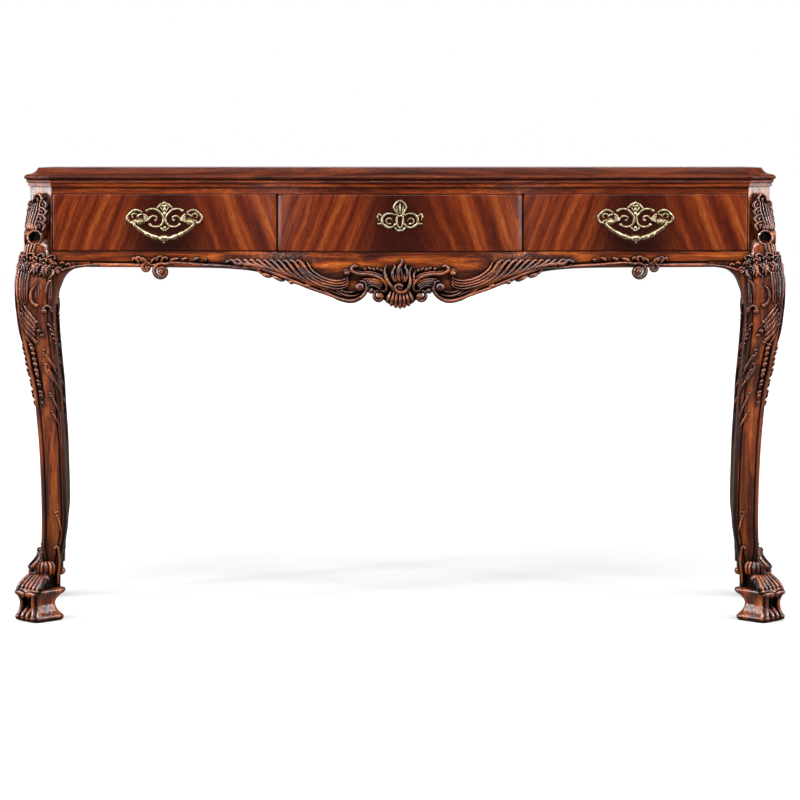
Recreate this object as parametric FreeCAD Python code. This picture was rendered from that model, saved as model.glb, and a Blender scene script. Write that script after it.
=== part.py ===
"""Carved pier table with three drawers, as separate solids in one shared frame (millimetres).

X runs to the right, Y to the back and Z up. The origin is on the floor under the middle of the table.
"""
import FreeCAD, Part
import math
import os

# Overall
HEIGHT = 914.0
DEPTH = 440.0
DRAWER_ZONE_HALF = 698.0
CANT = 49.0
FLARE = 7.0
NOSE_OVERHANG = 12.0
BACK_OVERHANG = 6.0

# Serpentine front: two equal tangent arcs on each side of the middle
BULGE = 60.0
BULGE_RUN = 470.0

# Levels, from the top down
TOP_THICK = 25.0
TOP_HOLLOW = 15.6
MOULDING_HEIGHT = 13.0
RAIL_HEIGHT = 14.0
DRAWER_HEIGHT = 113.0
DRAWER_GAP = 1.2
APRON_FLANK = 31.0
APRON_CENTRE = 100.0
APRON_RUN = 252.0
APRON_CENTRE_HALF = 102.0
BRACKET_RUN = 66.0
BRACKET_DROP = 27.0
BACK_RAIL_DROP = 44.0

# Board thicknesses
APRON_THICK = 22.0
RAIL_DEPTH = 50.0
SIDE_THICK = 20.0
SIDE_INSET = 4.0
BACK_THICK = 20.0
BACK_INSET = 4.0
PARTITION_THICK = 18.0
PARTITION_X = 245.0
BEAD_WIDTH = 9.0
BEAD_PROUD = 4.0

# Legs
POST_DEPTH = 85.0
REAR_POST_WIDTH = 52.0
REAR_POST_DEPTH = 62.0
FOOT_SIDE = 66.0
FOOT_WAIST = 50.0
FOOT_HEIGHT = 58.0
FOOT_BACKSET = 13.0
CORBEL_PROUD = 30.0
CORBEL_WIDTH = 40.0
CORBEL_DROP = 22.0
CORBEL_HEIGHT = 84.0

# Tenons
TENON_THICK = 7.0
TENON_LENGTH = 24.0
STUB_LENGTH = 10.0
STUB_BACK = 13.0
TENON_SHOULDER = 5.0
RAIL_SHOULDER = 20.0
TENON_PLAY = 0.1

# Drawers
FRONT_THICK = 20.0
FRONT_PROUD = 1.5
FRONT_SEAM = 4.0
FRONT_END_GAP = 2.0
BOX_SIDE = 12.0
BOX_BACK = 10.0
BOX_BOTTOM = 6.0
BOX_GROOVE = 5.0
BOX_HEIGHT = 95.0
BOX_RISE = 3.0
BOTTOM_RISE = 8.0
BACK_LOWER = 10.0
SIDE_PLAY = 1.5
RUN_PLAY = 0.3
RUNNER_WIDTH = 27.0
RUNNER_HEIGHT = 22.0
GUIDE_WIDTH = 15.5
GUIDE_HEIGHT = 60.0
KICKER_WIDTH = 42.0
STOP_WIDTH = 24.0
STOP_HEIGHT = 16.0
STOP_LENGTH = 30.0
STOP_INSET = 60.0
BLOCK_LEG = 28.0
BLOCK_HEIGHT = 62.0

# Pulls
PULL_HALF = 50.0
PULL_RISE = 58.0
PLATE_THICK = 2.5
POST_RADIUS = 3.0
POST_PLAY = 0.15
POST_STAND = 12.0
BALL_RADIUS = 5.5
PIN_RADIUS = 1.6
PIN_PLAY = 0.05
PIN_DEPTH = 8.0
BAIL_RADIUS = 2.7
BAIL_DROP = 36.0
BAIL_SHOULDER = 22.0
BAIL_END_GAP = 0.4
NUT_RADIUS = 6.0
NUT_THICK = 5.0

# Escutcheon and lock
SHIELD_THICK = 2.5
SHIELD_RISE = 66.0
PIN_HEAD = 1.6
KEY_RADIUS = 3.0
KEY_SLOT = 9.0
CASE_WIDTH = 52.0
CASE_HEIGHT = 34.0
CASE_DEPTH = 11.0
CASE_TOP_GAP = 1.0
BOLT_WIDTH = 20.0
BOLT_THICK = 5.0
BOLT_HEIGHT = 26.0
BOLT_PLAY = 0.3
BOLT_THROW = 8.0

# Top screws
SCREW_RADIUS = 2.0
SCREW_HEAD = 4.0
SCREW_HEAD_HEIGHT = 3.0
SCREW_BITE = 12.0

# Carving
CARVE_PROUD = 9.0
CARTOUCHE_HALF = 124.0
CARVE_JOINT = 0.2
SCROLL_SHARE = 0.446
SCROLL_GAP_IN = 2.0
SCROLL_GAP_OUT = 13.0
SCROLL_RADIUS = 18.0
CURL_RADIUS = 11.0
LEAF_WIDTH = 10.0
LEAF_TUCK = 2.0
LAP = 1.0

# Values that follow from the ones above
NODE_DIR = os.path.join(os.path.dirname(os.path.abspath(__file__)), "parts")
FRONT_Y = -DEPTH / 2 + NOSE_OVERHANG + BULGE
BACK_Y = DEPTH / 2 - BACK_OVERHANG
SIDE_HALF = DRAWER_ZONE_HALF + CANT
REAR_HALF = SIDE_HALF + FLARE
Z_SLAB = HEIGHT - TOP_THICK
Z_CARCASS = Z_SLAB - MOULDING_HEIGHT
Z_RAIL = Z_CARCASS - RAIL_HEIGHT
Z_FRONT_TOP = Z_RAIL - DRAWER_GAP
Z_FRONT_LOW = Z_FRONT_TOP - DRAWER_HEIGHT
Z_APRON = Z_FRONT_LOW - DRAWER_GAP
Z_FLANK = Z_APRON - APRON_FLANK
Z_CENTRE = Z_APRON - APRON_CENTRE
Z_BOX = Z_APRON + BOX_RISE
Z_RUNNER = Z_BOX - RUN_PLAY
ARC_R = (BULGE_RUN ** 2 + BULGE ** 2) / (4 * BULGE)
ARC_T = math.asin(BULGE_RUN / 2 / ARC_R)
BACK_FACE = BACK_Y - BACK_INSET - BACK_THICK
BOX_END = BACK_FACE - STOP_LENGTH
PULL_X = (DRAWER_ZONE_HALF - FRONT_END_GAP + PARTITION_X + FRONT_SEAM / 2) / 2
PULL_Z = Z_FRONT_LOW + PULL_RISE
REAR_INNER = REAR_HALF - REAR_POST_WIDTH
REAR_FACE = BACK_Y - REAR_POST_DEPTH
POST_BACK = FRONT_Y + POST_DEPTH
FLANK_START = APRON_CENTRE_HALF + APRON_RUN
FLANK_END = DRAWER_ZONE_HALF - BRACKET_RUN
SCROLL_X = FLANK_START + (FLANK_END - FLANK_START) * SCROLL_SHARE
SCROLL_IN = SCROLL_X - SCROLL_RADIUS - LEAF_WIDTH + LEAF_TUCK * 2 - SCROLL_GAP_IN
SCROLL_OUT = SCROLL_X + SCROLL_RADIUS + CURL_RADIUS * 2 - LAP + SCROLL_GAP_OUT


def vec(x, y, z=0.0):
    return FreeCAD.Vector(x, y, z)


def box(x0, x1, y0, y1, z0, z1):
    return Part.makeBox(x1 - x0, y1 - y0, z1 - z0, vec(x0, y0, z0))


def mirrored(shape):
    return shape.mirror(vec(0, 0, 0), vec(1, 0, 0))


def line(a, b):
    return Part.makeLine(a, b)


def arc(a, b, c):
    return Part.Arc(a, b, c).toShape()


def prism(points, z0, z1):
    """Upright solid on a plan polygon."""
    wire = Part.makePolygon([vec(x, y, z0) for x, y in points + points[:1]])
    return Part.Face(wire).extrude(vec(0, 0, z1 - z0))


def front_point(side, kind, share, out):
    """Point on one arc of the front; share 0 is its outer end, 1 its inner end."""
    if kind == "hollow":
        a = ARC_T * share
        r = ARC_R - out
        return side * (-BULGE_RUN + r * math.sin(a)), FRONT_Y - ARC_R + r * math.cos(a)
    a = ARC_T * (1 - share)
    r = ARC_R + out
    return -side * r * math.sin(a), FRONT_Y - BULGE + ARC_R - r * math.cos(a)


def front_edges(out, x_end, z):
    """Front line from left to right, moved forward by out."""
    y = FRONT_Y - out
    l0 = vec(-x_end, y, z)
    l1 = vec(-BULGE_RUN, y, z)
    l2 = vec(*front_point(1, "hollow", 0.5, out), z)
    l3 = vec(*front_point(1, "hollow", 1, out), z)
    m = vec(0, FRONT_Y - BULGE - out, z)
    r3 = vec(-l3.x, l3.y, z)
    r2 = vec(-l2.x, l2.y, z)
    r1 = vec(BULGE_RUN, y, z)
    r0 = vec(x_end, y, z)
    return [line(l0, l1), arc(l1, l2, l3), arc(l3, m, r3), arc(r3, r2, r1), line(r1, r0)]


def front_y(x, out=0.0):
    """Y of the front line at x."""
    ax = abs(x)
    if ax >= BULGE_RUN:
        return FRONT_Y - out
    joint = -front_point(1, "hollow", 1, out)[0]
    if ax >= joint:
        r = ARC_R - out
        return FRONT_Y - ARC_R + math.sqrt(r * r - (BULGE_RUN - ax) ** 2)
    r = ARC_R + out
    return FRONT_Y - BULGE + ARC_R - math.sqrt(r * r - ax * ax)


def band(back, out, z0, z1, x0=-DRAWER_ZONE_HALF, x1=DRAWER_ZONE_HALF):
    """Curved board along the front, between two offsets of the front line."""
    far = REAR_HALF
    outer = front_edges(out, far, z0)
    inner = front_edges(back, far, z0)
    ends = [line(vec(far, FRONT_Y - out, z0), vec(far, FRONT_Y - back, z0)),
            line(vec(-far, FRONT_Y - back, z0), vec(-far, FRONT_Y - out, z0))]
    wire = Part.Wire(Part.__sortEdges__(outer + inner + ends))
    solid = Part.Face(wire).extrude(vec(0, 0, z1 - z0))
    return solid.common(box(x0, x1, -DEPTH, DEPTH, z0, z1))


def behind(out, z0, z1):
    """Everything behind the front line moved by out, as far as the back."""
    far = REAR_HALF * 1.2
    y = BACK_Y * 2
    edges = front_edges(out, far, z0)
    edges += [line(vec(far, FRONT_Y - out, z0), vec(far, y, z0)),
              line(vec(far, y, z0), vec(-far, y, z0)),
              line(vec(-far, y, z0), vec(-far, FRONT_Y - out, z0))]
    wire = Part.Wire(Part.__sortEdges__(edges))
    return Part.Face(wire).extrude(vec(0, 0, z1 - z0))


def meet(p, u, q, v):
    """Crossing of two plan lines given by point and direction."""
    det = u[0] * -v[1] + v[0] * u[1]
    dx = q[0] - p[0]
    dy = q[1] - p[1]
    t = (dx * -v[1] + v[0] * dy) / det
    return p[0] + u[0] * t, p[1] + u[1] * t


def side_line(out):
    """Right-hand side line moved outward: a point and a direction."""
    run = BACK_Y - (FRONT_Y + CANT)
    size = math.hypot(FLARE, run)
    d = (FLARE / size, run / size)
    return (SIDE_HALF + d[1] * out, FRONT_Y + CANT - d[0] * out), d


def plan_corners(out, back):
    """Right-hand corners of the plan: front of the cant, back of the cant, rear."""
    half = math.sqrt(0.5)
    cant = (DRAWER_ZONE_HALF + half * out, FRONT_Y - half * out)
    p, d = side_line(out)
    a = meet(cant, (half, half), (0, FRONT_Y - out), (1, 0))
    b = meet(cant, (half, half), p, d)
    c = meet(p, d, (0, back), (1, 0))
    return a, b, c


def plan_wire(out, back, z):
    a, b, c = plan_corners(out, back)
    edges = front_edges(out, a[0], z)
    path = [a, b, c, (-c[0], c[1]), (-b[0], b[1]), (-a[0], a[1])]
    for p, q in zip(path, path[1:]):
        edges.append(line(vec(*p, z), vec(*q, z)))
    return Part.Wire(Part.__sortEdges__(edges))


def plan_prism(out, back, z0, z1):
    return Part.Face(plan_wire(out, back, z0)).extrude(vec(0, 0, z1 - z0))


def stack(profile, back, smooth):
    """Solid whose edge follows a profile of (offset, z) pairs all round the plan."""
    wires = [plan_wire(out, back, z) for out, z in profile]
    return Part.makeLoft(wires, True, not smooth)


def side_strip(outer, inner, y0, y1, z0, z1):
    """Board along the right-hand side between two offsets of the side line."""
    pts = []
    for out, ys in ((outer, (y0, y1)), (inner, (y1, y0))):
        p, d = side_line(out)
        for y in ys:
            pts.append(meet(p, d, (0, y), (1, 0)))
    return prism(pts, z0, z1)


def rounded_square(x0, x1, y0, y1, r, z):
    """Rounded rectangle at height z, as eight edges."""
    k = r * (1 - math.sqrt(0.5))
    return Part.Wire([
        line(vec(x0 + r, y0, z), vec(x1 - r, y0, z)),
        arc(vec(x1 - r, y0, z), vec(x1 - k, y0 + k, z), vec(x1, y0 + r, z)),
        line(vec(x1, y0 + r, z), vec(x1, y1 - r, z)),
        arc(vec(x1, y1 - r, z), vec(x1 - k, y1 - k, z), vec(x1 - r, y1, z)),
        line(vec(x1 - r, y1, z), vec(x0 + r, y1, z)),
        arc(vec(x0 + r, y1, z), vec(x0 + k, y1 - k, z), vec(x0, y1 - r, z)),
        line(vec(x0, y1 - r, z), vec(x0, y0 + r, z)),
        arc(vec(x0, y0 + r, z), vec(x0 + k, y0 + k, z), vec(x0 + r, y0, z)),
    ])


# Cabriole line: share of the height under the apron top, kick outward, width of the square
CABRIOLE = [
    (1.000, 4.0, 50.0),
    (0.962, 19.0, 65.5),
    (0.920, 26.0, 73.0),
    (0.868, 26.0, 72.5),
    (0.810, 20.0, 66.0),
    (0.743, 9.0, 57.0),
    (0.679, 0.0, 54.0),
    (0.613, -9.0, 52.0),
    (0.548, -14.0, 51.0),
    (0.462, -18.0, 50.0),
    (0.376, -20.0, 48.5),
    (0.268, -20.5, 47.0),
    (0.200, -19.0, 45.5),
    (0.155, -14.0, 46.0),
    (0.118, -8.0, 48.0),
    (0.062, -2.0, 52.0),
]


# Foot block: share of its height, swell from the waist (0) to the full side (1)
FOOT_ROWS = [(0.0, 0.94), (0.07, 1.0), (0.16, 0.97), (0.34, 0.0), (0.55, 0.0), (0.78, 0.97), (0.9, 1.0),
             (1.0, 0.9)]


def front_leg():
    """Right-hand front leg: canted post, corbel, square cabriole and turned foot block."""
    post = plan_prism(0, BACK_Y, Z_FLANK, Z_CARCASS)
    post = post.common(box(DRAWER_ZONE_HALF, REAR_HALF, -DEPTH, POST_BACK, Z_FLANK, Z_CARCASS))
    wires = []
    for share, kick, width in CABRIOLE:
        x1 = SIDE_HALF + kick
        y0 = FRONT_Y - kick
        wires.append(rounded_square(x1 - width, x1, y0, y0 + width, 6.0, Z_APRON * share))
    leg = Part.makeLoft(wires, True, False)
    cx = SIDE_HALF - FOOT_BACKSET
    cy = FRONT_Y + FOOT_BACKSET
    wires = []
    for share, swell in FOOT_ROWS:
        s = (FOOT_WAIST + (FOOT_SIDE - FOOT_WAIST) * swell) / 2
        wires.append(rounded_square(-s, s, -s, s, 5.0, FOOT_HEIGHT * share))
    foot = Part.makeLoft(wires, True, False)
    foot.rotate(vec(0, 0, 0), vec(0, 0, 1), 45)
    foot.translate(vec(cx, cy, 0))
    skirt = Part.makeLoft([
        rounded_square(-22, 30, -27, 27, 8.0, FOOT_HEIGHT * 1.0),
        rounded_square(-22, 27, -25, 25, 8.0, FOOT_HEIGHT * 1.25),
        rounded_square(-22, 14, -19, 19, 8.0, FOOT_HEIGHT * 1.62),
        rounded_square(-20, 8, -14, 14, 8.0, FOOT_HEIGHT * 2.0),
    ], True, False)
    skirt.rotate(vec(0, 0, 0), vec(0, 0, 1), -45)
    skirt.translate(vec(cx + 4, cy - 4, 0))
    leg = leg.fuse([post, foot, skirt, corbel()])
    return leg.removeSplitter()


def corbel():
    """Scrolled bracket on the canted face of a front post."""
    top = Z_CARCASS - CORBEL_DROP
    low = top - CORBEL_HEIGHT
    nose = CORBEL_PROUD
    edge = [
        vec(-12, 0, top),
        vec(1, 0, top),
        vec(nose * 0.34, 0, top - CORBEL_HEIGHT * 0.25),
        vec(nose * 0.62, 0, top - CORBEL_HEIGHT * 0.5),
        vec(nose * 0.97, 0, top - CORBEL_HEIGHT * 0.72),
        vec(nose * 0.9, 0, top - CORBEL_HEIGHT * 0.9),
        vec(nose * 0.45, 0, low),
        vec(0, 0, low),
        vec(-12, 0, low),
    ]
    curve = Part.BSplineCurve()
    curve.interpolate(edge[1:7])
    parts = [line(edge[0], edge[1]), curve.toShape(), line(edge[6], edge[7]), line(edge[7], edge[8]),
             line(edge[8], edge[0])]
    body = Part.Face(Part.Wire(parts)).extrude(vec(0, CORBEL_WIDTH, 0))
    body.translate(vec(0, -CORBEL_WIDTH / 2, 0))
    body.rotate(vec(0, 0, 0), vec(0, 0, 1), -45)
    body.translate(vec(DRAWER_ZONE_HALF + CANT / 2, FRONT_Y + CANT / 2, 0))
    return body


def rear_leg():
    """Right-hand rear leg: the same line sideways, flat at the back."""
    post = plan_prism(0, BACK_Y, Z_FLANK, Z_CARCASS)
    post = post.common(box(REAR_INNER, REAR_HALF, REAR_FACE, BACK_Y, Z_FLANK, Z_CARCASS))
    wires = []
    for share, kick, width in CABRIOLE:
        x1 = REAR_HALF + kick
        deep = min(width, REAR_POST_DEPTH)
        wires.append(rounded_square(x1 - width, x1, BACK_Y - deep, BACK_Y, 6.0, Z_APRON * share))
    leg = Part.makeLoft(wires, True, False)
    cx = REAR_HALF - FOOT_BACKSET
    cy = BACK_Y - FOOT_SIDE / 2
    wide = FOOT_SIDE * 1.36
    wires = []
    for share, swell in FOOT_ROWS:
        sx = (FOOT_WAIST * 1.36 + (wide - FOOT_WAIST * 1.36) * swell) / 2
        sy = FOOT_WAIST + (FOOT_SIDE - FOOT_WAIST) * swell
        wires.append(rounded_square(cx - sx, cx + sx, BACK_Y - sy, BACK_Y, 5.0, FOOT_HEIGHT * share))
    foot = Part.makeLoft(wires, True, False)
    skirt = Part.makeLoft([
        rounded_square(-24, 40, -25, 27, 8.0, FOOT_HEIGHT * 1.0),
        rounded_square(-24, 36, -24, 27, 8.0, FOOT_HEIGHT * 1.25),
        rounded_square(-24, 20, -20, 27, 8.0, FOOT_HEIGHT * 1.62),
        rounded_square(-22, 8, -14, 27, 8.0, FOOT_HEIGHT * 2.0),
    ], True, False)
    skirt.translate(vec(cx, cy, 0))
    leg = leg.fuse([post, foot, skirt])
    return leg.removeSplitter()


def table_top():
    hollow = [(-TOP_HOLLOW, HEIGHT), (-TOP_HOLLOW + 1.2, HEIGHT - 2.6), (-TOP_HOLLOW + 6.0, HEIGHT - 8.2),
              (-TOP_HOLLOW + 12.6, HEIGHT - 11.8), (NOSE_OVERHANG * 0.3, HEIGHT - 13.2)]
    nose = [(NOSE_OVERHANG * 0.3, HEIGHT - 13.2), (NOSE_OVERHANG * 0.76, HEIGHT - 15.2),
            (NOSE_OVERHANG, HEIGHT - 19.0), (NOSE_OVERHANG * 0.86, HEIGHT - 22.4),
            (NOSE_OVERHANG * 0.45, Z_SLAB)]
    back = BACK_Y + BACK_OVERHANG
    return stack(hollow, back, True).fuse(stack(nose, back, True)).removeSplitter()


def top_moulding():
    z = Z_SLAB
    h = MOULDING_HEIGHT
    step = z - h * 0.42
    bead = [(5.2, z), (7.6, z - 1.2), (7.9, z - 2.6), (6.9, z - 4.4), (6.2, step)]
    fillet = plan_prism(4.2, BACK_Y, Z_CARCASS, step)
    ring = stack(bead, BACK_Y, True).fuse(fillet)
    p, d = side_line(-SIDE_THICK - SIDE_INSET)
    rear = meet(p, d, (0, BACK_FACE), (1, 0))
    front = meet(p, d, (0, -DEPTH), (1, 0))
    inside = behind(-RAIL_DEPTH, Z_CARCASS, z)
    plug = prism([front, rear, (-rear[0], rear[1]), (-front[0], front[1])], Z_CARCASS, z)
    return ring.cut(plug.common(inside))


def apron_face(rise=0.0):
    """Front view of the apron below its top edge, as a flat face in the XZ plane."""
    half = DRAWER_ZONE_HALF
    top = Z_APRON
    flank = Z_FLANK + rise
    low = Z_CENTRE + rise
    x3 = APRON_CENTRE_HALF
    x2 = FLANK_START
    x1 = FLANK_END
    fall = Z_FLANK - Z_CENTRE
    r = (APRON_RUN ** 2 + fall ** 2) / (4 * fall)
    t = math.asin(APRON_RUN / 2 / r) / 2
    right = [
        line(vec(0, 0, low), vec(x3, 0, low)),
        arc(vec(x3, 0, low), vec(x3 + r * math.sin(t), 0, low + r * (1 - math.cos(t))),
            vec((x2 + x3) / 2, 0, (flank + low) / 2)),
        arc(vec((x2 + x3) / 2, 0, (flank + low) / 2),
            vec(x2 - r * math.sin(t), 0, flank - r * (1 - math.cos(t))), vec(x2, 0, flank)),
        line(vec(x2, 0, flank), vec(x1, 0, flank)),
        arc(vec(x1, 0, flank), vec(x1 + BRACKET_RUN * 0.62, 0, flank - BRACKET_DROP * 0.215),
            vec(half, 0, flank - BRACKET_DROP)),
        line(vec(half, 0, flank - BRACKET_DROP), vec(half, 0, top)),
        line(vec(half, 0, top), vec(0, 0, top)),
    ]
    left = [e.mirror(vec(0, 0, 0), vec(1, 0, 0)) for e in right]
    return Part.Face(Part.Wire(Part.__sortEdges__(right + left)))


def through_front(face):
    """Prism that takes an XZ outline through the whole front."""
    solid = face.extrude(vec(0, DEPTH * 2, 0))
    solid.translate(vec(0, -DEPTH, 0))
    return solid


def front_apron():
    face = apron_face()
    low = Z_CENTRE - BRACKET_DROP
    board = band(-APRON_THICK, 0, low, Z_APRON).common(through_front(face))
    strip = face.cut(apron_face(BEAD_WIDTH))
    bead = band(0, BEAD_PROUD, low, Z_APRON).common(through_front(strip))
    keep = []
    for x0, x1 in ((SCROLL_OUT, DRAWER_ZONE_HALF), (FLANK_START, SCROLL_IN)):
        keep.append(bead.common(box(x0, x1, -DEPTH, DEPTH, low, Z_APRON)))
        keep.append(bead.common(box(-x1, -x0, -DEPTH, DEPTH, low, Z_APRON)))
    apron = board.fuse(keep)
    for t in apron_tenons(0.0):
        apron = apron.fuse(t)
    return apron.removeSplitter()


def apron_tenons(play):
    out = []
    y0 = FRONT_Y + STUB_BACK
    for s in (1, -1):
        xa = s * (DRAWER_ZONE_HALF - 1)
        xb = s * (DRAWER_ZONE_HALF + STUB_LENGTH + play)
        out.append(box(min(xa, xb), max(xa, xb), y0 - play, y0 + TENON_THICK + play,
                       Z_FLANK - play, Z_APRON - TENON_SHOULDER + play))
    return out


def rail_tenons(play):
    out = []
    y0 = FRONT_Y + STUB_BACK * 1.5
    for s in (1, -1):
        xa = s * (DRAWER_ZONE_HALF - 1)
        xb = s * (DRAWER_ZONE_HALF + STUB_LENGTH + play)
        out.append(box(min(xa, xb), max(xa, xb), y0 - play, y0 + RAIL_DEPTH / 2 + play,
                       Z_RAIL + 3 - play, Z_CARCASS - 3 + play))
    return out


def front_top_rail():
    rail = band(-RAIL_DEPTH, 0, Z_RAIL, Z_CARCASS)
    for t in rail_tenons(0.0):
        rail = rail.fuse(t)
    y = front_y(0) + FRONT_THICK - FRONT_PROUD
    half = BOLT_WIDTH / 2 + 1
    pocket = box(-half, half, y + 1, y + CASE_DEPTH + 1, Z_RAIL, Z_RAIL + BOLT_THROW + 2)
    return rail.cut(pocket).removeSplitter()


def side_tenon(play):
    mid = -SIDE_INSET - SIDE_THICK / 2
    half = TENON_THICK / 2 + play
    reach = TENON_LENGTH + play
    return side_strip(mid + half, mid - half, POST_BACK - reach, REAR_FACE + reach,
                      Z_FLANK + RAIL_SHOULDER - play, Z_CARCASS - RAIL_SHOULDER + play)


def side_rail():
    """Right-hand side board with bracket curves at both ends of its lower edge."""
    board = side_strip(-SIDE_INSET, -SIDE_INSET - SIDE_THICK, POST_BACK, REAR_FACE,
                       Z_FLANK - BRACKET_DROP, Z_CARCASS)
    y0 = POST_BACK
    y1 = REAR_FACE
    z = Z_FLANK
    run = min(BRACKET_RUN * 0.7, (y1 - y0) * 0.35)
    d = BRACKET_DROP
    gap = Part.Wire([
        arc(vec(0, y0, z - d), vec(0, y0 + run * 0.38, z - d * 0.215), vec(0, y0 + run, z)),
        line(vec(0, y0 + run, z), vec(0, y1 - run, z)),
        arc(vec(0, y1 - run, z), vec(0, y1 - run * 0.38, z - d * 0.215), vec(0, y1, z - d)),
        line(vec(0, y1, z - d), vec(0, y0, z - d)),
    ])
    board = board.cut(Part.Face(gap).extrude(vec(REAR_HALF * 2, 0, 0)))
    return board.fuse(side_tenon(0.0)).removeSplitter()


def back_tenon(play):
    x = REAR_INNER + TENON_LENGTH + play
    y = BACK_FACE + (BACK_THICK - TENON_THICK) / 2
    low = Z_APRON - BACK_RAIL_DROP + RAIL_SHOULDER
    return box(-x, x, y - play, y + TENON_THICK + play, low - play, Z_CARCASS - RAIL_SHOULDER + play)


def back_rail():
    low = Z_APRON - BACK_RAIL_DROP
    board = box(-REAR_INNER, REAR_INNER, BACK_FACE, BACK_FACE + BACK_THICK, low, Z_CARCASS)
    return board.fuse(back_tenon(0.0)).removeSplitter()


def partition():
    half = PARTITION_THICK / 2
    board = box(PARTITION_X - half, PARTITION_X + half, -DEPTH, BACK_FACE, Z_RUNNER - RUNNER_HEIGHT, Z_RAIL)
    return board.common(behind(-APRON_THICK, Z_RUNNER - RUNNER_HEIGHT, Z_RAIL))


def runner_spans():
    half = PARTITION_THICK / 2
    edge = DRAWER_ZONE_HALF - SIDE_PLAY
    right = [(PARTITION_X + half, PARTITION_X + half + RUNNER_WIDTH), (edge - RUNNER_WIDTH, edge),
             (PARTITION_X - half - RUNNER_WIDTH, PARTITION_X - half)]
    return right + [(-b, -a) for a, b in right]


def drawer_runners():
    z0 = Z_RUNNER - RUNNER_HEIGHT
    room = behind(-APRON_THICK, z0, Z_RUNNER)
    out = [box(a, b, -DEPTH, BACK_FACE, z0, Z_RUNNER).common(room) for a, b in runner_spans()]
    return Part.makeCompound([s.Solids[0] for s in out])


def drawer_guides():
    x = DRAWER_ZONE_HALF - SIDE_PLAY
    z0 = Z_RUNNER - RUNNER_HEIGHT
    right = box(x, x + GUIDE_WIDTH, POST_BACK, REAR_FACE, z0, z0 + GUIDE_HEIGHT)
    return Part.makeCompound([right, mirrored(right).Solids[0]])


def kicker_spans():
    half = KICKER_WIDTH / 2
    edge = DRAWER_ZONE_HALF - half
    right = [(PARTITION_X - half, PARTITION_X + half), (edge - half, edge + half)]
    return right + [(-b, -a) for a, b in right]


def screw_spots():
    out = []
    for a, b in kicker_spans():
        for share in (0.2, 0.8):
            y0 = FRONT_Y + RAIL_DEPTH
            out.append(((a + b) / 2, y0 + (BACK_FACE - y0) * share))
    return out


def screw(x, y, play=0.0):
    head = Part.makeCone(SCREW_HEAD + play, SCREW_RADIUS + play, SCREW_HEAD_HEIGHT, vec(x, y, Z_RAIL))
    shank = Part.makeCylinder(SCREW_RADIUS + play, Z_SLAB - Z_RAIL + SCREW_BITE, vec(x, y, Z_RAIL))
    return head.fuse(shank).removeSplitter()


def drawer_kickers():
    room = behind(-RAIL_DEPTH, Z_RAIL, Z_SLAB)
    cuts = [screw(x, y) for x, y in screw_spots()]
    out = []
    for a, b in kicker_spans():
        strip = box(a, b, -DEPTH, BACK_FACE, Z_RAIL, Z_SLAB).common(room)
        out.append(strip.cut(cuts).Solids[0])
    return Part.makeCompound(out)


def drawer_stops():
    z = Z_BOX + BOX_HEIGHT / 2
    out = []
    for x0, x1 in (box_span(-1), box_span(0), box_span(1)):
        for x in (x0 + STOP_INSET, x1 - STOP_INSET):
            half = STOP_WIDTH / 2
            out.append(box(x - half, x + half, BOX_END + RUN_PLAY, BACK_FACE, z, z + STOP_HEIGHT))
    return Part.makeCompound(out)


def rear_corner_blocks():
    z1 = Z_RAIL
    x = REAR_INNER
    corner = [(x, BACK_FACE), (x, BACK_FACE - BLOCK_LEG), (x - BLOCK_LEG, BACK_FACE)]
    right = prism(corner, z1 - BLOCK_HEIGHT, z1)
    return Part.makeCompound([right, mirrored(right).Solids[0]])


def front_span(k):
    """X range of a drawer front: -1 left, 0 centre, 1 right."""
    seam = FRONT_SEAM / 2
    if k == 0:
        return -PARTITION_X + seam, PARTITION_X - seam
    a = PARTITION_X + seam
    b = DRAWER_ZONE_HALF - FRONT_END_GAP
    return (a, b) if k > 0 else (-b, -a)


def box_span(k):
    """Outer faces of a drawer's sides."""
    half = PARTITION_THICK / 2 + SIDE_PLAY
    if k == 0:
        return -PARTITION_X + half, PARTITION_X - half
    a = PARTITION_X + half
    b = DRAWER_ZONE_HALF - SIDE_PLAY * 2
    return (a, b) if k > 0 else (-b, -a)


FRONT_BACK = FRONT_PROUD - FRONT_THICK


def drawer_bottom(k):
    x0, x1 = box_span(k)
    z = Z_BOX + BOTTOM_RISE
    inset = BOX_SIDE - BOX_GROOVE
    return box(x0 + inset, x1 - inset, -DEPTH, BOX_END, z, z + BOX_BOTTOM).common(
        behind(FRONT_BACK + BOX_GROOVE, z, z + BOX_BOTTOM))


def drawer_front(k):
    x0, x1 = front_span(k)
    front = band(FRONT_BACK, FRONT_PROUD, Z_FRONT_LOW, Z_FRONT_TOP, x0, x1)
    front = front.cut(drawer_bottom(k))
    if k == 0:
        front = front.cut(keyhole())
    else:
        for px in (k * PULL_X - PULL_HALF, k * PULL_X + PULL_HALF):
            hole = Part.makeCylinder(POST_RADIUS + POST_PLAY, DEPTH, vec(px, -DEPTH, PULL_Z), vec(0, 1, 0))
            front = front.cut(hole)
    return front


def drawer_side(k, which):
    x0, x1 = box_span(k)
    xa = x0 if which < 0 else x1 - BOX_SIDE
    board = box(xa, xa + BOX_SIDE, -DEPTH, BOX_END, Z_BOX, Z_BOX + BOX_HEIGHT)
    board = board.common(behind(FRONT_BACK, Z_BOX, Z_BOX + BOX_HEIGHT))
    return board.cut(drawer_bottom(k))


def drawer_back(k):
    x0, x1 = box_span(k)
    z0 = Z_BOX + BOTTOM_RISE + BOX_BOTTOM
    return box(x0 + BOX_SIDE, x1 - BOX_SIDE, BOX_END - BOX_BACK, BOX_END, z0, Z_BOX + BOX_HEIGHT - BACK_LOWER)


def disc(x, z, r):
    return Part.Face(Part.Wire(Part.makeCircle(r, vec(x, 0, z), vec(0, 1, 0))))


def ring(x, z, r, width):
    return disc(x, z, r).cut(disc(x, z, r - width))


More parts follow.
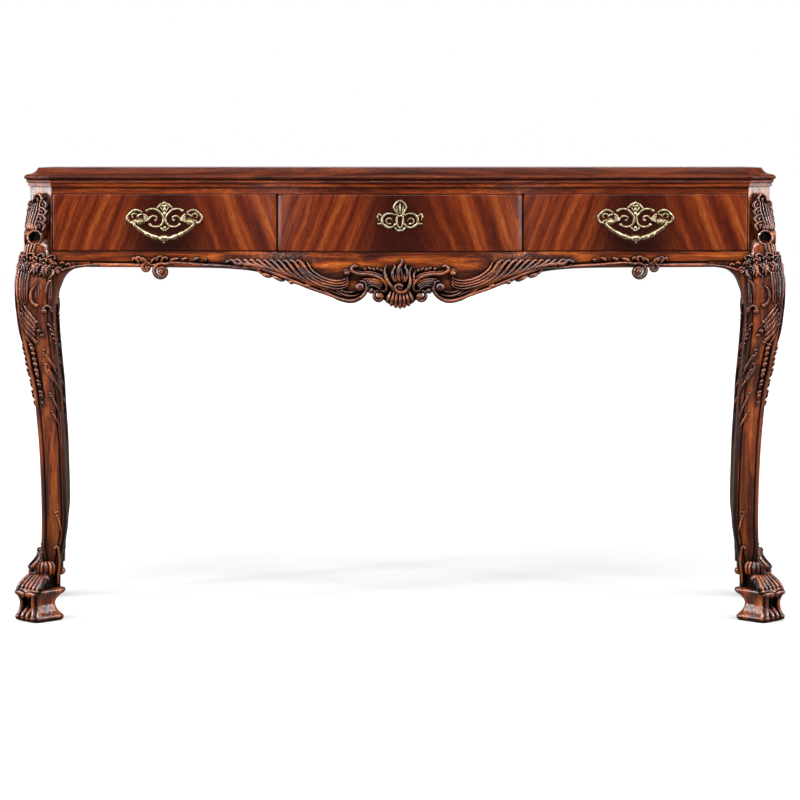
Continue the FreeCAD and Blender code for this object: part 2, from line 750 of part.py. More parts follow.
def bar(xa, za, xb, zb, width):
    """Flat strip between two points of the XZ plane."""
    size = math.hypot(xb - xa, zb - za)
    nx = -(zb - za) / size * width / 2
    nz = (xb - xa) / size * width / 2
    pts = [vec(xa + nx, 0, za + nz), vec(xb + nx, 0, zb + nz), vec(xb - nx, 0, zb - nz),
           vec(xa - nx, 0, za - nz)]
    return Part.Face(Part.makePolygon(pts + pts[:1]))


def on_front(faces, back, out):
    """Raised piece on the front, with the outline of the faces put together."""
    low = min(f.BoundBox.ZMin for f in faces)
    high = max(f.BoundBox.ZMax for f in faces)
    prisms = [through_front(f) for f in faces]
    outline = prisms[0]
    if len(prisms) > 1:
        outline = outline.fuse(prisms[1:]).removeSplitter()
    return band(back, out, low, high).common(outline)


def pull_plate(k):
    x = k * PULL_X
    z = PULL_Z
    h = PULL_HALF
    faces = [disc(x - h, z, h * 0.17), disc(x + h, z, h * 0.17)]
    for s in (1, -1):
        faces.append(ring(x + s * h * 0.35, z + h * 0.10, h * 0.33, h * 0.09))
        faces.append(ring(x + s * h * 1.18, z + h * 0.14, h * 0.30, h * 0.12))
        faces.append(bar(x + s * h * 0.60, z + h * 0.12, x + s * h, z, h * 0.18))
        faces.append(bar(x + s * h * 0.92, z + h * 0.04, x + s * h * 1.12, z - h * 0.12, h * 0.16))
    faces.append(bar(x, z - h * 0.40, x, z + h * 0.72, h * 0.18))
    faces.append(disc(x, z + h * 0.58, h * 0.18))
    faces.append(disc(x, z - h * 0.28, h * 0.12))
    plate = on_front(faces, FRONT_PROUD, FRONT_PROUD + PLATE_THICK)
    for px in (x - PULL_HALF, x + PULL_HALF):
        plate = plate.cut(Part.makeCylinder(POST_RADIUS + POST_PLAY, DEPTH, vec(px, -DEPTH, z), vec(0, 1, 0)))
    return plate


def ball_y(k):
    """Y of the bail's axis: clear of the plate at both posts."""
    near = min(front_y(k * PULL_X - PULL_HALF), front_y(k * PULL_X + PULL_HALF))
    return near - FRONT_PROUD - PLATE_THICK - POST_STAND


def pull_posts(k):
    x = k * PULL_X
    y = ball_y(k)
    out = []
    for s in (1, -1):
        px = x + s * PULL_HALF
        end = front_y(px) - FRONT_PROUD + FRONT_THICK + NUT_THICK + 2
        shank = Part.makeCylinder(POST_RADIUS, end - y, vec(px, y, PULL_Z), vec(0, 1, 0))
        ball = Part.makeSphere(BALL_RADIUS, vec(px, y, PULL_Z))
        foot = front_y(px) - FRONT_PROUD - PLATE_THICK
        collar = Part.makeCylinder(POST_RADIUS + 1.6, 3, vec(px, foot - 3.4, PULL_Z), vec(0, 1, 0))
        hole = Part.makeCylinder(PIN_RADIUS + PIN_PLAY, PIN_DEPTH + 1,
                                 vec(px + s * (BALL_RADIUS + 0.5), y, PULL_Z), vec(-s, 0, 0))
        out.append(ball.fuse([shank, collar]).cut(hole).removeSplitter().Solids[0])
    return Part.makeCompound(out)


def pull_nuts(k):
    x = k * PULL_X
    out = []
    for s in (1, -1):
        px = x + s * PULL_HALF
        y = front_y(px) - FRONT_PROUD + FRONT_THICK
        pts = [(px + NUT_RADIUS * math.cos(a), PULL_Z + NUT_RADIUS * math.sin(a))
               for a in [math.radians(60 * i) for i in range(7)]]
        wire = Part.makePolygon([vec(px2, y + 1, pz) for px2, pz in pts])
        nut = Part.Face(wire).extrude(vec(0, NUT_THICK, 0))
        washer = Part.makeCylinder(NUT_RADIUS + 2, 1, vec(px, y, PULL_Z), vec(0, 1, 0))
        nut = nut.fuse(washer)
        nut = nut.common(behind(FRONT_BACK, PULL_Z - 20, PULL_Z + 20))
        nut = nut.cut(Part.makeCylinder(POST_RADIUS, DEPTH, vec(px, y - 30, PULL_Z), vec(0, 1, 0)))
        out.append(nut.removeSplitter().Solids[0])
    return Part.makeCompound(out)


def bail(k):
    x = k * PULL_X
    y = ball_y(k)
    z = PULL_Z
    end = PULL_HALF + BALL_RADIUS + BAIL_END_GAP
    eye = BAIL_RADIUS * 1.25
    bx = end + eye
    r1 = BAIL_SHOULDER
    rise = ((bx - r1) ** 2 - (BAIL_DROP - r1) ** 2) / (2 * (BAIL_DROP - r1))
    turn = math.degrees(math.atan2(bx - r1, rise))
    low = Part.Face(Part.Wire(Part.makeCircle(BAIL_RADIUS, vec(x, y, z - BAIL_DROP), vec(1, 0, 0))))
    low.rotate(vec(x, y, z + rise), vec(0, 1, 0), -turn)
    body = low.revolve(vec(x, y, z + rise), vec(0, 1, 0), 2 * turn)
    arms = []
    for s in (1, -1):
        arm = Part.Face(Part.Wire(Part.makeCircle(BAIL_RADIUS, vec(x + s * bx, y, z), vec(0, 0, 1))))
        arms.append(arm.revolve(vec(x + s * (bx - r1), y, z), vec(0, s, 0), 90 - turn))
    body = body.fuse(arms)
    extra = []
    for s in (1, -1):
        extra.append(Part.makeCylinder(eye, eye * 2, vec(x + s * end, y, z), vec(s, 0, 0)))
        extra.append(Part.makeCylinder(PIN_RADIUS, PIN_DEPTH + eye + BAIL_END_GAP,
                                       vec(x + s * (end + eye), y, z), vec(-s, 0, 0)))
    block = BAIL_RADIUS * 1.6
    extra.append(Part.makeCylinder(block, block * 2, vec(x - block, y, z - BAIL_DROP), vec(1, 0, 0)))
    return body.fuse(extra).removeSplitter()


def keyhole():
    z = Z_FRONT_LOW + SHIELD_RISE
    top = Part.makeCylinder(KEY_RADIUS, DEPTH, vec(0, -DEPTH, z), vec(0, 1, 0))
    slot = box(-KEY_RADIUS * 0.5, KEY_RADIUS * 0.5, -DEPTH, 0, z - KEY_SLOT, z)
    return top.fuse(slot)


def shield_pins_at():
    z = Z_FRONT_LOW + SHIELD_RISE
    return [(-37, z + 6), (37, z + 6), (0, z + 26), (0, z - 22)]


def escutcheon():
    z = Z_FRONT_LOW + SHIELD_RISE
    faces = [disc(0, z, 11), bar(0, z - 25, 0, z + 32, 9), disc(0, z + 25, 8)]
    for s in (1, -1):
        faces.append(ring(s * 20, z + 3, 15, 4.5))
        faces.append(disc(s * 36, z + 6, 8))
        faces.append(bar(s * 8, z + 1, s * 22, z + 3, 6))
    plate = on_front(faces, FRONT_PROUD, FRONT_PROUD + SHIELD_THICK).cut(keyhole())
    for x, pz in shield_pins_at():
        plate = plate.cut(Part.makeCylinder(PIN_HEAD / 2, DEPTH, vec(x, -DEPTH, pz), vec(0, 1, 0)))
    return plate


def escutcheon_pins():
    out = []
    for x, z in shield_pins_at():
        y = front_y(x) - FRONT_PROUD - SHIELD_THICK
        head = Part.makeSphere(PIN_HEAD, vec(x, y - 0.2, z)).common(
            box(x - 5, x + 5, y - 5, y - 0.02, z - 5, z + 5))
        shank = Part.makeCylinder(PIN_HEAD / 2, SHIELD_THICK + 7, vec(x, y - 0.5, z), vec(0, 1, 0))
        out.append(head.fuse(shank).removeSplitter().Solids[0])
    return Part.makeCompound(out)


def case_box():
    y = front_y(0) - FRONT_PROUD + FRONT_THICK
    z1 = Z_FRONT_TOP - CASE_TOP_GAP
    return y, z1


def lock_case():
    y, z1 = case_box()
    half = CASE_WIDTH / 2
    z0 = z1 - CASE_HEIGHT
    case = box(-half, half, y, y + CASE_DEPTH, z0, z1).common(behind(FRONT_BACK, z0, z1))
    w = BOLT_WIDTH / 2 + BOLT_PLAY
    yb = y + (CASE_DEPTH - BOLT_THICK) / 2
    slot = box(-w, w, yb - BOLT_PLAY, yb + BOLT_THICK + BOLT_PLAY, z1 - BOLT_HEIGHT - 1, z1)
    case = case.cut(slot)
    for x in (-half + 5, half - 5):
        case = case.cut(Part.makeCylinder(1.6, CASE_DEPTH * 3, vec(x, y - 5, (z0 + z1) / 2), vec(0, 1, 0)))
    return case


def lock_bolt():
    y, z1 = case_box()
    yb = y + (CASE_DEPTH - BOLT_THICK) / 2
    w = BOLT_WIDTH / 2
    return box(-w, w, yb, yb + BOLT_THICK, z1 - BOLT_HEIGHT, z1)


def lock_screws():
    y, z1 = case_box()
    half = CASE_WIDTH / 2
    z = z1 - CASE_HEIGHT / 2
    out = []
    for x in (-half + 5, half - 5):
        head = Part.makeCone(1.6, 3.2, 2, vec(x, y + CASE_DEPTH, z), vec(0, 1, 0))
        shank = Part.makeCylinder(1.6, CASE_DEPTH + 9, vec(x, y - 9, z), vec(0, 1, 0))
        out.append(head.fuse(shank).removeSplitter().Solids[0])
    return Part.makeCompound(out)


def smooth_face(points):
    """Face inside a closed smooth line through XZ points."""
    curve = Part.BSplineCurve()
    curve.interpolate([vec(x, 0, z) for x, z in points], PeriodicFlag=True)
    return Part.Face(Part.Wire(curve.toShape()))


def carved(faces, x0, x1):
    """Carving on the face of the apron, cut off at two upright planes."""
    piece = on_front(faces, 0, CARVE_PROUD)
    return piece.common(box(x0, x1, -DEPTH, DEPTH, 0, HEIGHT))


def apron_cartouche():
    """Shell shield over the middle; points are shares of its half width and of the apron's height."""
    right = [(0.19, 0.76), (0.48, 0.62), (0.81, 0.66), (0.97, 0.50), (0.90, 0.26), (0.98, 0.06),
             (0.77, -0.01), (0.56, 0.14), (0.35, -0.03), (0.13, -0.12)]
    left = [(-x, z) for x, z in reversed(right)]
    outline = [(0, 0.88)] + right + [(0, -0.14)] + left
    body = smooth_face([(x * CARTOUCHE_HALF, Z_CENTRE + z * APRON_CENTRE) for x, z in outline])
    return carved([body], -CARTOUCHE_HALF, CARTOUCHE_HALF)


def apron_spray(s):
    """Feathered leaf along the rise; points are shares of the rise's run and of the apron's height."""
    outline = [(-0.05, 0.60), (0.31, 0.82), (0.63, 0.84), (0.90, 0.77), (0.99, 0.72), (0.79, 0.57),
               (0.63, 0.45), (0.43, 0.28), (0.23, 0.09), (0.03, -0.01), (-0.09, 0.10)]
    pts = [(APRON_CENTRE_HALF + x * APRON_RUN, Z_CENTRE + z * APRON_CENTRE) for x, z in outline]
    face = smooth_face([(s * x, z) for x, z in pts])
    near = CARTOUCHE_HALF + CARVE_JOINT
    far = DRAWER_ZONE_HALF
    return carved([face], near, far) if s > 0 else carved([face], -far, -near)


def apron_scroll(s):
    """Volute on the apron's flank with a smaller curl on its outer side and two leaves above."""
    r = SCROLL_RADIUS
    w = LEAF_WIDTH
    x = s * SCROLL_X
    curl = x + s * (r + CURL_RADIUS - LAP)
    inner = x - s * (r - LEAF_TUCK)
    outer = x + s * w
    level = Z_FLANK + w
    faces = [disc(x, Z_FLANK - r * 0.67, r), disc(curl, Z_FLANK - CURL_RADIUS * 0.27, CURL_RADIUS)]
    faces.append(bar(x, Z_FLANK + w * 0.3, curl + s * LEAF_TUCK, Z_FLANK + w * 0.6, w))
    faces.append(disc(outer, level, w - LAP))
    faces.append(disc(inner, level + LEAF_TUCK, w - LEAF_TUCK))
    faces.append(bar(inner + s * LEAF_TUCK * 2, level, outer - s * LEAF_TUCK, Z_FLANK, w))
    return on_front(faces, 0, CARVE_PROUD)


def build():
    nodes = {}
    top = table_top()
    screws = [screw(x, y) for x, y in screw_spots()]
    nodes["table_top"] = top.cut(screws)
    nodes["top_moulding"] = top_moulding()
    cuts = apron_tenons(TENON_PLAY) + rail_tenons(TENON_PLAY) + [side_tenon(TENON_PLAY)]
    leg = front_leg().cut(cuts)
    nodes["front_right_leg"] = leg
    nodes["front_left_leg"] = mirrored(leg)
    leg = rear_leg().cut([side_tenon(TENON_PLAY), back_tenon(TENON_PLAY)])
    nodes["rear_right_leg"] = leg
    nodes["rear_left_leg"] = mirrored(leg)
    nodes["front_top_rail"] = front_top_rail()
    nodes["front_apron"] = front_apron()
    rail = side_rail().cut([nodes["front_right_leg"], nodes["rear_right_leg"]])
    nodes["right_side_rail"] = rail
    nodes["left_side_rail"] = mirrored(rail)
    nodes["back_rail"] = back_rail()
    wall = partition()
    nodes["right_partition"] = wall
    nodes["left_partition"] = mirrored(wall)
    nodes["drawer_runners"] = drawer_runners()
    nodes["drawer_guides"] = drawer_guides()
    nodes["drawer_kickers"] = drawer_kickers()
    nodes["drawer_stops"] = drawer_stops()
    nodes["rear_corner_blocks"] = rear_corner_blocks()
    nodes["top_screws"] = Part.makeCompound([s.Solids[0] for s in screws])
    nodes["apron_cartouche"] = apron_cartouche()
    nodes["apron_spray_right"] = apron_spray(1)
    nodes["apron_spray_left"] = apron_spray(-1)
    nodes["apron_scroll_right"] = apron_scroll(1)
    nodes["apron_scroll_left"] = apron_scroll(-1)
    for name, k in (("left", -1), ("centre", 0), ("right", 1)):
        nodes[name + "_drawer_front"] = drawer_front(k)
        nodes[name + "_drawer_left_side"] = drawer_side(k, -1)
        nodes[name + "_drawer_right_side"] = drawer_side(k, 1)
        nodes[name + "_drawer_back"] = drawer_back(k)
        nodes[name + "_drawer_bottom"] = drawer_bottom(k)
    for name, k in (("left", -1), ("right", 1)):
        nodes[name + "_pull_plate"] = pull_plate(k)
        nodes[name + "_pull_posts"] = pull_posts(k)
        nodes[name + "_pull_nuts"] = pull_nuts(k)
        nodes[name + "_bail"] = bail(k)
    screws = lock_screws()
    pins = escutcheon_pins()
    nodes["escutcheon"] = escutcheon().cut(pins)
    nodes["escutcheon_pins"] = pins
    nodes["lock_case"] = lock_case().cut(screws)
    nodes["lock_screws"] = screws
    nodes["centre_drawer_front"] = nodes["centre_drawer_front"].cut([screws, pins])
    nodes["lock_bolt"] = lock_bolt()
    return nodes


def save(nodes):
    os.makedirs(NODE_DIR, exist_ok=True)
    for name, shape in nodes.items():
        solids = shape.Solids
        out = solids[0] if len(solids) == 1 else Part.makeCompound(solids)
        out.exportStep(os.path.join(NODE_DIR, name + ".step"))


save(build())
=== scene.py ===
import math

import bpy
import numpy as np
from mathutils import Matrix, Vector


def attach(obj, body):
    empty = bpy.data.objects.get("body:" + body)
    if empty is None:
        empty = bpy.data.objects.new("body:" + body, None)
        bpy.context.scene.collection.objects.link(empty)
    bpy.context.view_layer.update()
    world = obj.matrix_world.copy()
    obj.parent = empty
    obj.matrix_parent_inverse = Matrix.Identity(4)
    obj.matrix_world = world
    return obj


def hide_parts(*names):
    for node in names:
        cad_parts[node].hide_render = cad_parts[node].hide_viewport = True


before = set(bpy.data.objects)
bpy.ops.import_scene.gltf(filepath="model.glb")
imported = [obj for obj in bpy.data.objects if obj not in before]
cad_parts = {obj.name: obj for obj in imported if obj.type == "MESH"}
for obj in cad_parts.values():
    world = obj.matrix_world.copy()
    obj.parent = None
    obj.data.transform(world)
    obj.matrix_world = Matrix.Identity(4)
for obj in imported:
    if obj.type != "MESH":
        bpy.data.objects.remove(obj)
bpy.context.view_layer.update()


# Front legs: each is one length of mahogany sawn to a cabriole line, with a canted post at the top
# that the rails are tenoned into. The arrises are run with a bead, and the knee, the bracket on the
# post and the paw foot are carved in the same wood, stained dark, glazed black and polished. The
# black in their hollows and down their strands is partly glaze and partly painted shade.
MM = 0.001
SIDE_HALF = 747.0
FRONT_Y = -148.0
DRAWER_ZONE_HALF = 698.0
CANT = SIDE_HALF - DRAWER_ZONE_HALF
CARCASS_TOP = 876.0
POST_DEPTH = 85.0
ARRIS_RADIUS = 6.0
NECK_RADIUS = 24.0
NECK_HEIGHTS = (722.0, 760.0)
BEAD_RUN = 8.0
QUIRK_DEPTH = 2.0
QUIRK_WIDTH = 1.5
QUIRK_TOP = 724.0
HUSK_LINE = 14.5
HUSK_TOP = 566.0
HUSK_FOOT = 440.0
CHANNEL_DEPTH = 2.2
# Share of the tone on the leg's inner face, painted darker as shade
INNER_SHADE_TONE = 0.62
ANKLE_TONE = 0.45
ANKLE_HEIGHTS = (90.0, 460.0)
# Black laid in hollows and down strand flanks: partly glaze, partly painted shade
GLAZE_AND_SHADE = "#0d0402"

# Height, kick along the diagonal's two axes, and side of the square, up the leg
CABRIOLE = [(64, -30, 27), (80, -29, 28), (95, -27.5, 30), (110, -25.5, 33), (122, -24, 36),
            (135, -22.5, 40), (149, -21.5, 43.5), (170, -22, 47), (200, -22.5, 49.5), (240, -22, 50),
            (281, -21, 50), (345, -18.5, 50.5), (409, -14, 51), (458, -9, 53.5), (507, -1, 57),
            (555, 7, 61), (605, 16, 67), (648, 20, 71.5), (687, 20, 72), (712, 15.5, 66), (733, 9, 58),
            (748, 6, 54), (759, 5, 53), (767, 0, 47), (773, -9, 37), (777, -19, 25)]


def paint(code):
    """Linear colour of an sRGB hex value."""
    parts = [int(code[k:k + 2], 16) / 255 for k in (1, 3, 5)]
    return tuple(c / 12.92 if c <= 0.04045 else ((c + 0.055) / 1.055) ** 2.4 for c in parts) + (1.0,)


def add(tree, kind, links=None, stops=(), out=0, **settings):
    """A new shader node's output. Links maps an input to a socket or to a value, and stops are the
    (place, hex) colours of a ramp."""
    node = tree.nodes.new(kind)
    for key, value in settings.items():
        setattr(node, key, value)
    for k, (place, code) in enumerate(stops):
        element = node.color_ramp.elements[k] if k < 2 else node.color_ramp.elements.new(place)
        element.position = place
        element.color = paint(code)
    for key, value in (links or {}).items():
        if isinstance(value, bpy.types.NodeSocket):
            tree.links.new(value, node.inputs[key])
        else:
            node.inputs[key].default_value = value
    return node.outputs[out] if len(node.outputs) else None


def polished(tree, colour, rough, height, depth_mm, coat, lacquer=1.5):
    """French-polished surface: colour under a clear coat, with pores and tool marks as bump."""
    bump = add(tree, "ShaderNodeBump", {"Height": height, "Strength": 1.0, "Distance": depth_mm * MM})
    shader = add(tree, "ShaderNodeBsdfPrincipled",
                 {"Base Color": colour, "Roughness": rough, "IOR": 1.5, "Specular IOR Level": 0.12,
                  "Coat Weight": coat, "Coat Roughness": 0.11, "Coat IOR": lacquer, "Normal": bump,
                  "Coat Normal": bump})
    add(tree, "ShaderNodeOutputMaterial", {"Surface": shader})


def clear_of_glaze_and_shade(tree, reach_mm, low, high):
    """1 where the surface lies open, falling to 0 deep in a hollow; it sets where the dark is laid, which is
    glaze or tarnish and painted shade together.
    """
    hollow = add(tree, "ShaderNodeAmbientOcclusion", {"Distance": reach_mm * MM}, out="AO", samples=8)
    return add(tree, "ShaderNodeMapRange", {"Value": hollow, "From Min": low, "From Max": high})


def new_material(name):
    """Empty material and its node tree."""
    material = bpy.data.materials.new(name)
    material.use_nodes = True
    material.node_tree.nodes.clear()
    return material, material.node_tree


def mahogany(name, grain, stops, carved=False, coat=0.6, dull=0.0):
    """Stained mahogany with its grain along one axis: long ribbon figure, short dark pores, drawn
    coarser than they are so that they show, a few dents, and black in the quirks, in the hollows and
    between the carved strands, which is partly glaze and partly painted shade. Coat is the share of
    polish, and dull is added to the roughness where the polish has been worn down."""
    figure_mm = 16.0
    pore_mm = 1.6
    dent_mm = 46.0
    tool_mm = 11.0
    glaze_mm = 14.0
    material, tree = new_material(name)
    spot = add(tree, "ShaderNodeTexCoord", out="Object")
    stretch = [1.0, 1.0, 1.0]
    stretch["XYZ".index(grain)] = 0.07
    lay = add(tree, "ShaderNodeMapping", {"Vector": spot, "Scale": stretch})
    ribbon = add(tree, "ShaderNodeTexNoise", {"Vector": lay, "Scale": 1 / (figure_mm * MM), "Detail": 4.0,
                                              "Roughness": 0.62, "Distortion": 0.5})
    colour = add(tree, "ShaderNodeValToRGB", {"Fac": ribbon}, stops)
    pores = add(tree, "ShaderNodeTexNoise", {"Vector": lay, "Scale": 1 / (pore_mm * MM), "Detail": 2.0})
    pore = add(tree, "ShaderNodeMapRange", {"Value": pores, "From Min": 0.38, "From Max": 0.56,
                                            "To Min": 0.62, "To Max": 1.06})
    cell = add(tree, "ShaderNodeTexVoronoi", {"Vector": spot, "Scale": 1 / (dent_mm * MM)})
    dent = add(tree, "ShaderNodeMapRange", {"Value": cell, "From Min": 0.02, "From Max": 0.06, "To Min": 0.3})
    shade = add(tree, "ShaderNodeMath", {0: pore, 1: dent}, operation="MULTIPLY")
    colour = add(tree, "ShaderNodeMix", {"Factor": 1.0, "A": colour, "B": shade}, out=2, data_type="RGBA",
                 blend_type="MULTIPLY")
    # Hollows found by occlusion are painted dark: partly glaze, partly painted shade.
    clean_and_lit = clear_of_glaze_and_shade(tree, glaze_mm, 0.44, 0.98)
    # On carved pieces the strands' flanks and backs are painted dark too, from their crest tone, as glaze and
    # painted shade; a crest tone above 1 lifts the dark off a face.
    if carved:
        crest = add(tree, "ShaderNodeAttribute", out="Fac", attribute_name="crest")
        ridge = add(tree, "ShaderNodeMapRange", {"Value": crest, "From Min": 0.34, "From Max": 0.98})
        clean_and_lit = add(tree, "ShaderNodeMath", {0: clean_and_lit, 1: ridge}, operation="MULTIPLY")
        shade_lift = add(tree, "ShaderNodeMath", {0: crest, 1: 1.0}, operation="SUBTRACT")
        clean_and_lit = add(tree, "ShaderNodeMath", {0: clean_and_lit, 1: shade_lift}, operation="MAXIMUM")
    colour = add(tree, "ShaderNodeMix", {"Factor": clean_and_lit, "A": paint(GLAZE_AND_SHADE), "B": colour}, out=2,
                 data_type="RGBA")
    rough = add(tree, "ShaderNodeMapRange", {"Value": pores, "To Min": 0.42 + dull, "To Max": 0.26 + dull})
    gloss = add(tree, "ShaderNodeMapRange", {"Value": clean_and_lit, "To Min": 0.08, "To Max": coat})
    marks = add(tree, "ShaderNodeTexNoise", {"Vector": spot, "Scale": 1 / (tool_mm * MM), "Detail": 1.0})
    dips = add(tree, "ShaderNodeMath", {0: marks, 1: 3.0 if carved else 0.5, 2: shade},
               operation="MULTIPLY_ADD")
    polished(tree, colour, rough, dips, 0.25, gloss, 1.74 if carved else 1.5)
    return material


LEG_STOPS = ((0.28, "#1f0803"), (0.45, "#5a2009"), (0.58, "#9e4815"), (0.75, "#cc7029"))
leg_wood = mahogany("carved_mahogany_leg", "Z", LEG_STOPS, carved=True, coat=1.0)


def run_along(rows):
    """Distance run along a curve, at each of its rows."""
    return np.concatenate([[0], np.cumsum(np.linalg.norm(np.diff(rows[:, :2], axis=0), axis=1))])


def unit(rows):
    """Rows scaled to length 1."""
    return rows / (np.linalg.norm(rows, axis=1)[:, None] + 1e-9)


def lifted(points):
    """Listed (across, up, lift) points, with no lift where none is given."""
    return [tuple(p) + (0.0,) * (3 - len(p)) for p in points]


def circle(count):
    """Angles evenly round a circle."""
    return np.linspace(0, 2 * math.pi, count, endpoint=False)


def flow(points, step):
    """Smooth curve through given points, as evenly spaced rows."""
    p = np.array(points, float)
    ends = np.vstack([2 * p[0] - p[1], p, 2 * p[-1] - p[-2]])
    share = np.linspace(0, 1, 20, endpoint=False)[:, None]
    rows = []
    for k in range(len(p) - 1):
        a, b, c, d = ends[k:k + 4]
        rows.append(0.5 * (2 * b + (c - a) * share + (2 * a - 5 * b + 4 * c - d) * share ** 2
                           + (3 * b - a - 3 * c + d) * share ** 3))
    fine = np.vstack(rows + [p[-1:]])
    run = run_along(fine)
    stops = np.linspace(0, run[-1], max(5, int(run[-1] / step) + 1))
    return np.column_stack([np.interp(stops, run, column) for column in fine.T])


def reed(u):
    """Round section of a strand, from edge to edge."""
    return np.sqrt(np.clip(1 - u * u, 0, 1))


class Carving:
    """Strands, balls and lofted bodies laid on a surface and gathered into one piece."""

    def __init__(self, surface, turn=1.0, twin=False):
        self.surface = surface
        self.turn = turn
        self.twin = twin
        self.verts = []
        self.faces = []
        self.crest = []

    def loft(self, rings, crest):
        """Closed body through rings of points, its faces turned outward."""
        rows, count = rings.shape[:2]
        crest = np.asarray(crest, float)
        p = rings - rings.reshape(-1, 3).mean(axis=0)
        q = np.roll(p, -1, axis=1)
        if np.einsum("ijk,ijk", p[:-1], np.cross(p[1:], q[1:]) + np.cross(q[1:], q[:-1])) < 0:
            rings, crest = rings[:, ::-1], crest[:, ::-1]
        base = len(self.verts)
        self.verts.extend(map(tuple, rings.reshape(-1, 3)))
        self.crest.extend(crest.reshape(-1))
        for i in range(rows - 1):
            for j in range(count):
                k = (j + 1) % count
                low = base + i * count
                self.faces.append((low + j, low + count + j, low + count + k, low + k))
        self.faces.append(tuple(base + j for j in range(count)))
        last = base + (rows - 1) * count
        self.faces.append(tuple(last + j for j in reversed(range(count))))

    def place(self, a, b):
        """Point and outward normal of the surface."""
        p = np.array(self.surface(a, b))
        across = np.array(self.surface(a + 0.5, b)) - p
        up = np.array(self.surface(a, b + 0.5)) - p
        n = np.cross(up, across) * self.turn
        return p, n / np.linalg.norm(n)

    def strand(self, points, width, height, ends=(0.4, 0.4), peak=0.5, sunk=4.0, step=2.2, one=False):
        """Tapered ridge along given (across, up, lift) points."""
        path = flow(lifted(points), step)
        share = np.linspace(0, 1, len(path))
        body = np.interp(share, (0, peak, 1), (ends[0], 1.0, ends[1]))
        body = body * body * (3 - 2 * body)
        run = run_along(path)
        near = np.minimum(run, run[-1] - run)
        half = width / 2 * np.maximum(body, 0.16)
        cap = np.clip(near / half, 0.02, 1)
        cap = np.sqrt(1 - (1 - cap) ** 2)
        half = half * np.maximum(cap, 0.2)
        high = height * (0.45 + 0.55 * body) * cap
        u = np.linspace(-1, 1, 9)
        for side in ((1, -1) if self.twin and not one else (1,)):
            spots = [self.place(side * a, b) for a, b in path[:, :2]]
            p = np.array([s[0] for s in spots])
            n = np.array([s[1] for s in spots])
            t = unit(np.gradient(p, axis=0))
            s = unit(np.cross(n, t))
            n = np.cross(t, s)
            out = path[:, 2:3] + high[:, None] * reed(u)[None, :]
            ring = p[:, None] + n[:, None] * out[..., None] + s[:, None] * (half[:, None] * u)[..., None]
            back = p - n * sunk
            foot = s * (half * 0.85)[:, None]
            rings = np.concatenate([ring, (back + foot)[:, None], (back - foot)[:, None]], axis=1)
            # The crest tone is 1 on the top of the strand and 0 down its flanks and back; the carved woods
            # paint the flanks dark with it, as glaze and painted shade.
            crest = np.zeros(rings.shape[:2])
            crest[:, :9] = reed(u)[None, :]
            self.loft(rings, crest)

    def bundle(self, first, last, count, width, height, **how):
        """Strands spread evenly between two guide strands."""
        a = np.array(lifted(first), float)
        b = np.array(lifted(last), float)
        for k in range(count):
            share = k / max(1, count - 1)
            self.strand((a * (1 - share) + b * share).tolist(), width, height, **how)

    def ball(self, a, b, radius, lift=0.0, **how):
        """Half ball on the surface."""
        how["step"] = radius / 5
        self.strand([(a - radius, b, lift), (a, b, lift), (a + radius, b, lift)], radius * 2, radius * 0.9,
                    ends=(1, 1), **how)

    def knob(self, x, y, z, radius):
        """Whole ball at a point."""
        rings = []
        for lift in np.linspace(-1.5, 1.5, 9):
            r, up = radius * math.cos(lift), radius * math.sin(lift)
            rings.append([(x + r * math.cos(t), y + r * math.sin(t), z + up) for t in circle(16)])
        self.loft(np.array(rings), np.ones((9, 16)))

    def piece(self, name, wood, angle=50):
        """The gathered bodies as one object, smooth but for its sharper edges."""
        mesh = bpy.data.meshes.new(name)
        mesh.from_pydata([tuple(c * MM for c in v) for v in self.verts], [], self.faces)
        mesh.attributes.new("crest", "FLOAT", "POINT").data.foreach_set("value", self.crest)
        mesh.shade_smooth()
        mesh.set_sharp_from_angle(angle=math.radians(angle))
        mesh.materials.append(wood)
        obj = bpy.data.objects.new(name, mesh)
        bpy.context.scene.collection.objects.link(obj)
        return obj


def coil(a, b, radius, start, turns, eye=0.22, rise=3.0):
    """Points of a volute, from its rim at the start angle (degrees) in to its eye."""
    points = []
    steps = max(6, int(abs(turns) * 10))
    for k in range(steps + 1):
        share = k / steps
        r = radius * (1 - share * (1 - eye))
        angle = math.radians(start + 360 * turns * share)
        points.append((a + r * math.cos(angle), b + r * math.sin(angle), rise * share))
    return points


def mirrored(obj, name):
    """Left-hand copy of a right-hand piece."""
    twin = obj.copy()
    twin.data = obj.data.copy()
    twin.name = twin.data.name = name
    bpy.context.scene.collection.objects.link(twin)
    for vert in twin.data.vertices:
        vert.co.x = -vert.co.x
    twin.data.flip_normals()
    return twin


def outline(x0, x1, y0, y1, r, s):
    """Point and normal at distance s round a rounded rectangle, from its outer front corner inward."""
    arc = math.pi * r / 2
    runs = (x1 - x0 - 2 * r, y1 - y0 - 2 * r) * 2
    centres = ((x1 - r, y0 + r), (x0 + r, y0 + r), (x0 + r, y1 - r), (x1 - r, y1 - r))
    s = (s + arc / 2) % (2 * (runs[0] + runs[1]) + 4 * arc)
    for k in range(4):
        cx, cy = centres[k]
        if s <= arc:
            turn = -(k * math.pi / 2 + s / r)
            return cx + r * math.cos(turn), cy + r * math.sin(turn), math.cos(turn), math.sin(turn)
        s -= arc
        turn = -(k + 1) * math.pi / 2
        nx, ny = math.cos(turn), math.sin(turn)
        if s <= runs[k]:
            return cx + r * nx + ny * s, cy + r * ny - nx * s, nx, ny
        s -= runs[k]
    return x1 - r, y0, 0.0, -1.0


line_rows = flow(CABRIOLE, 2.0)


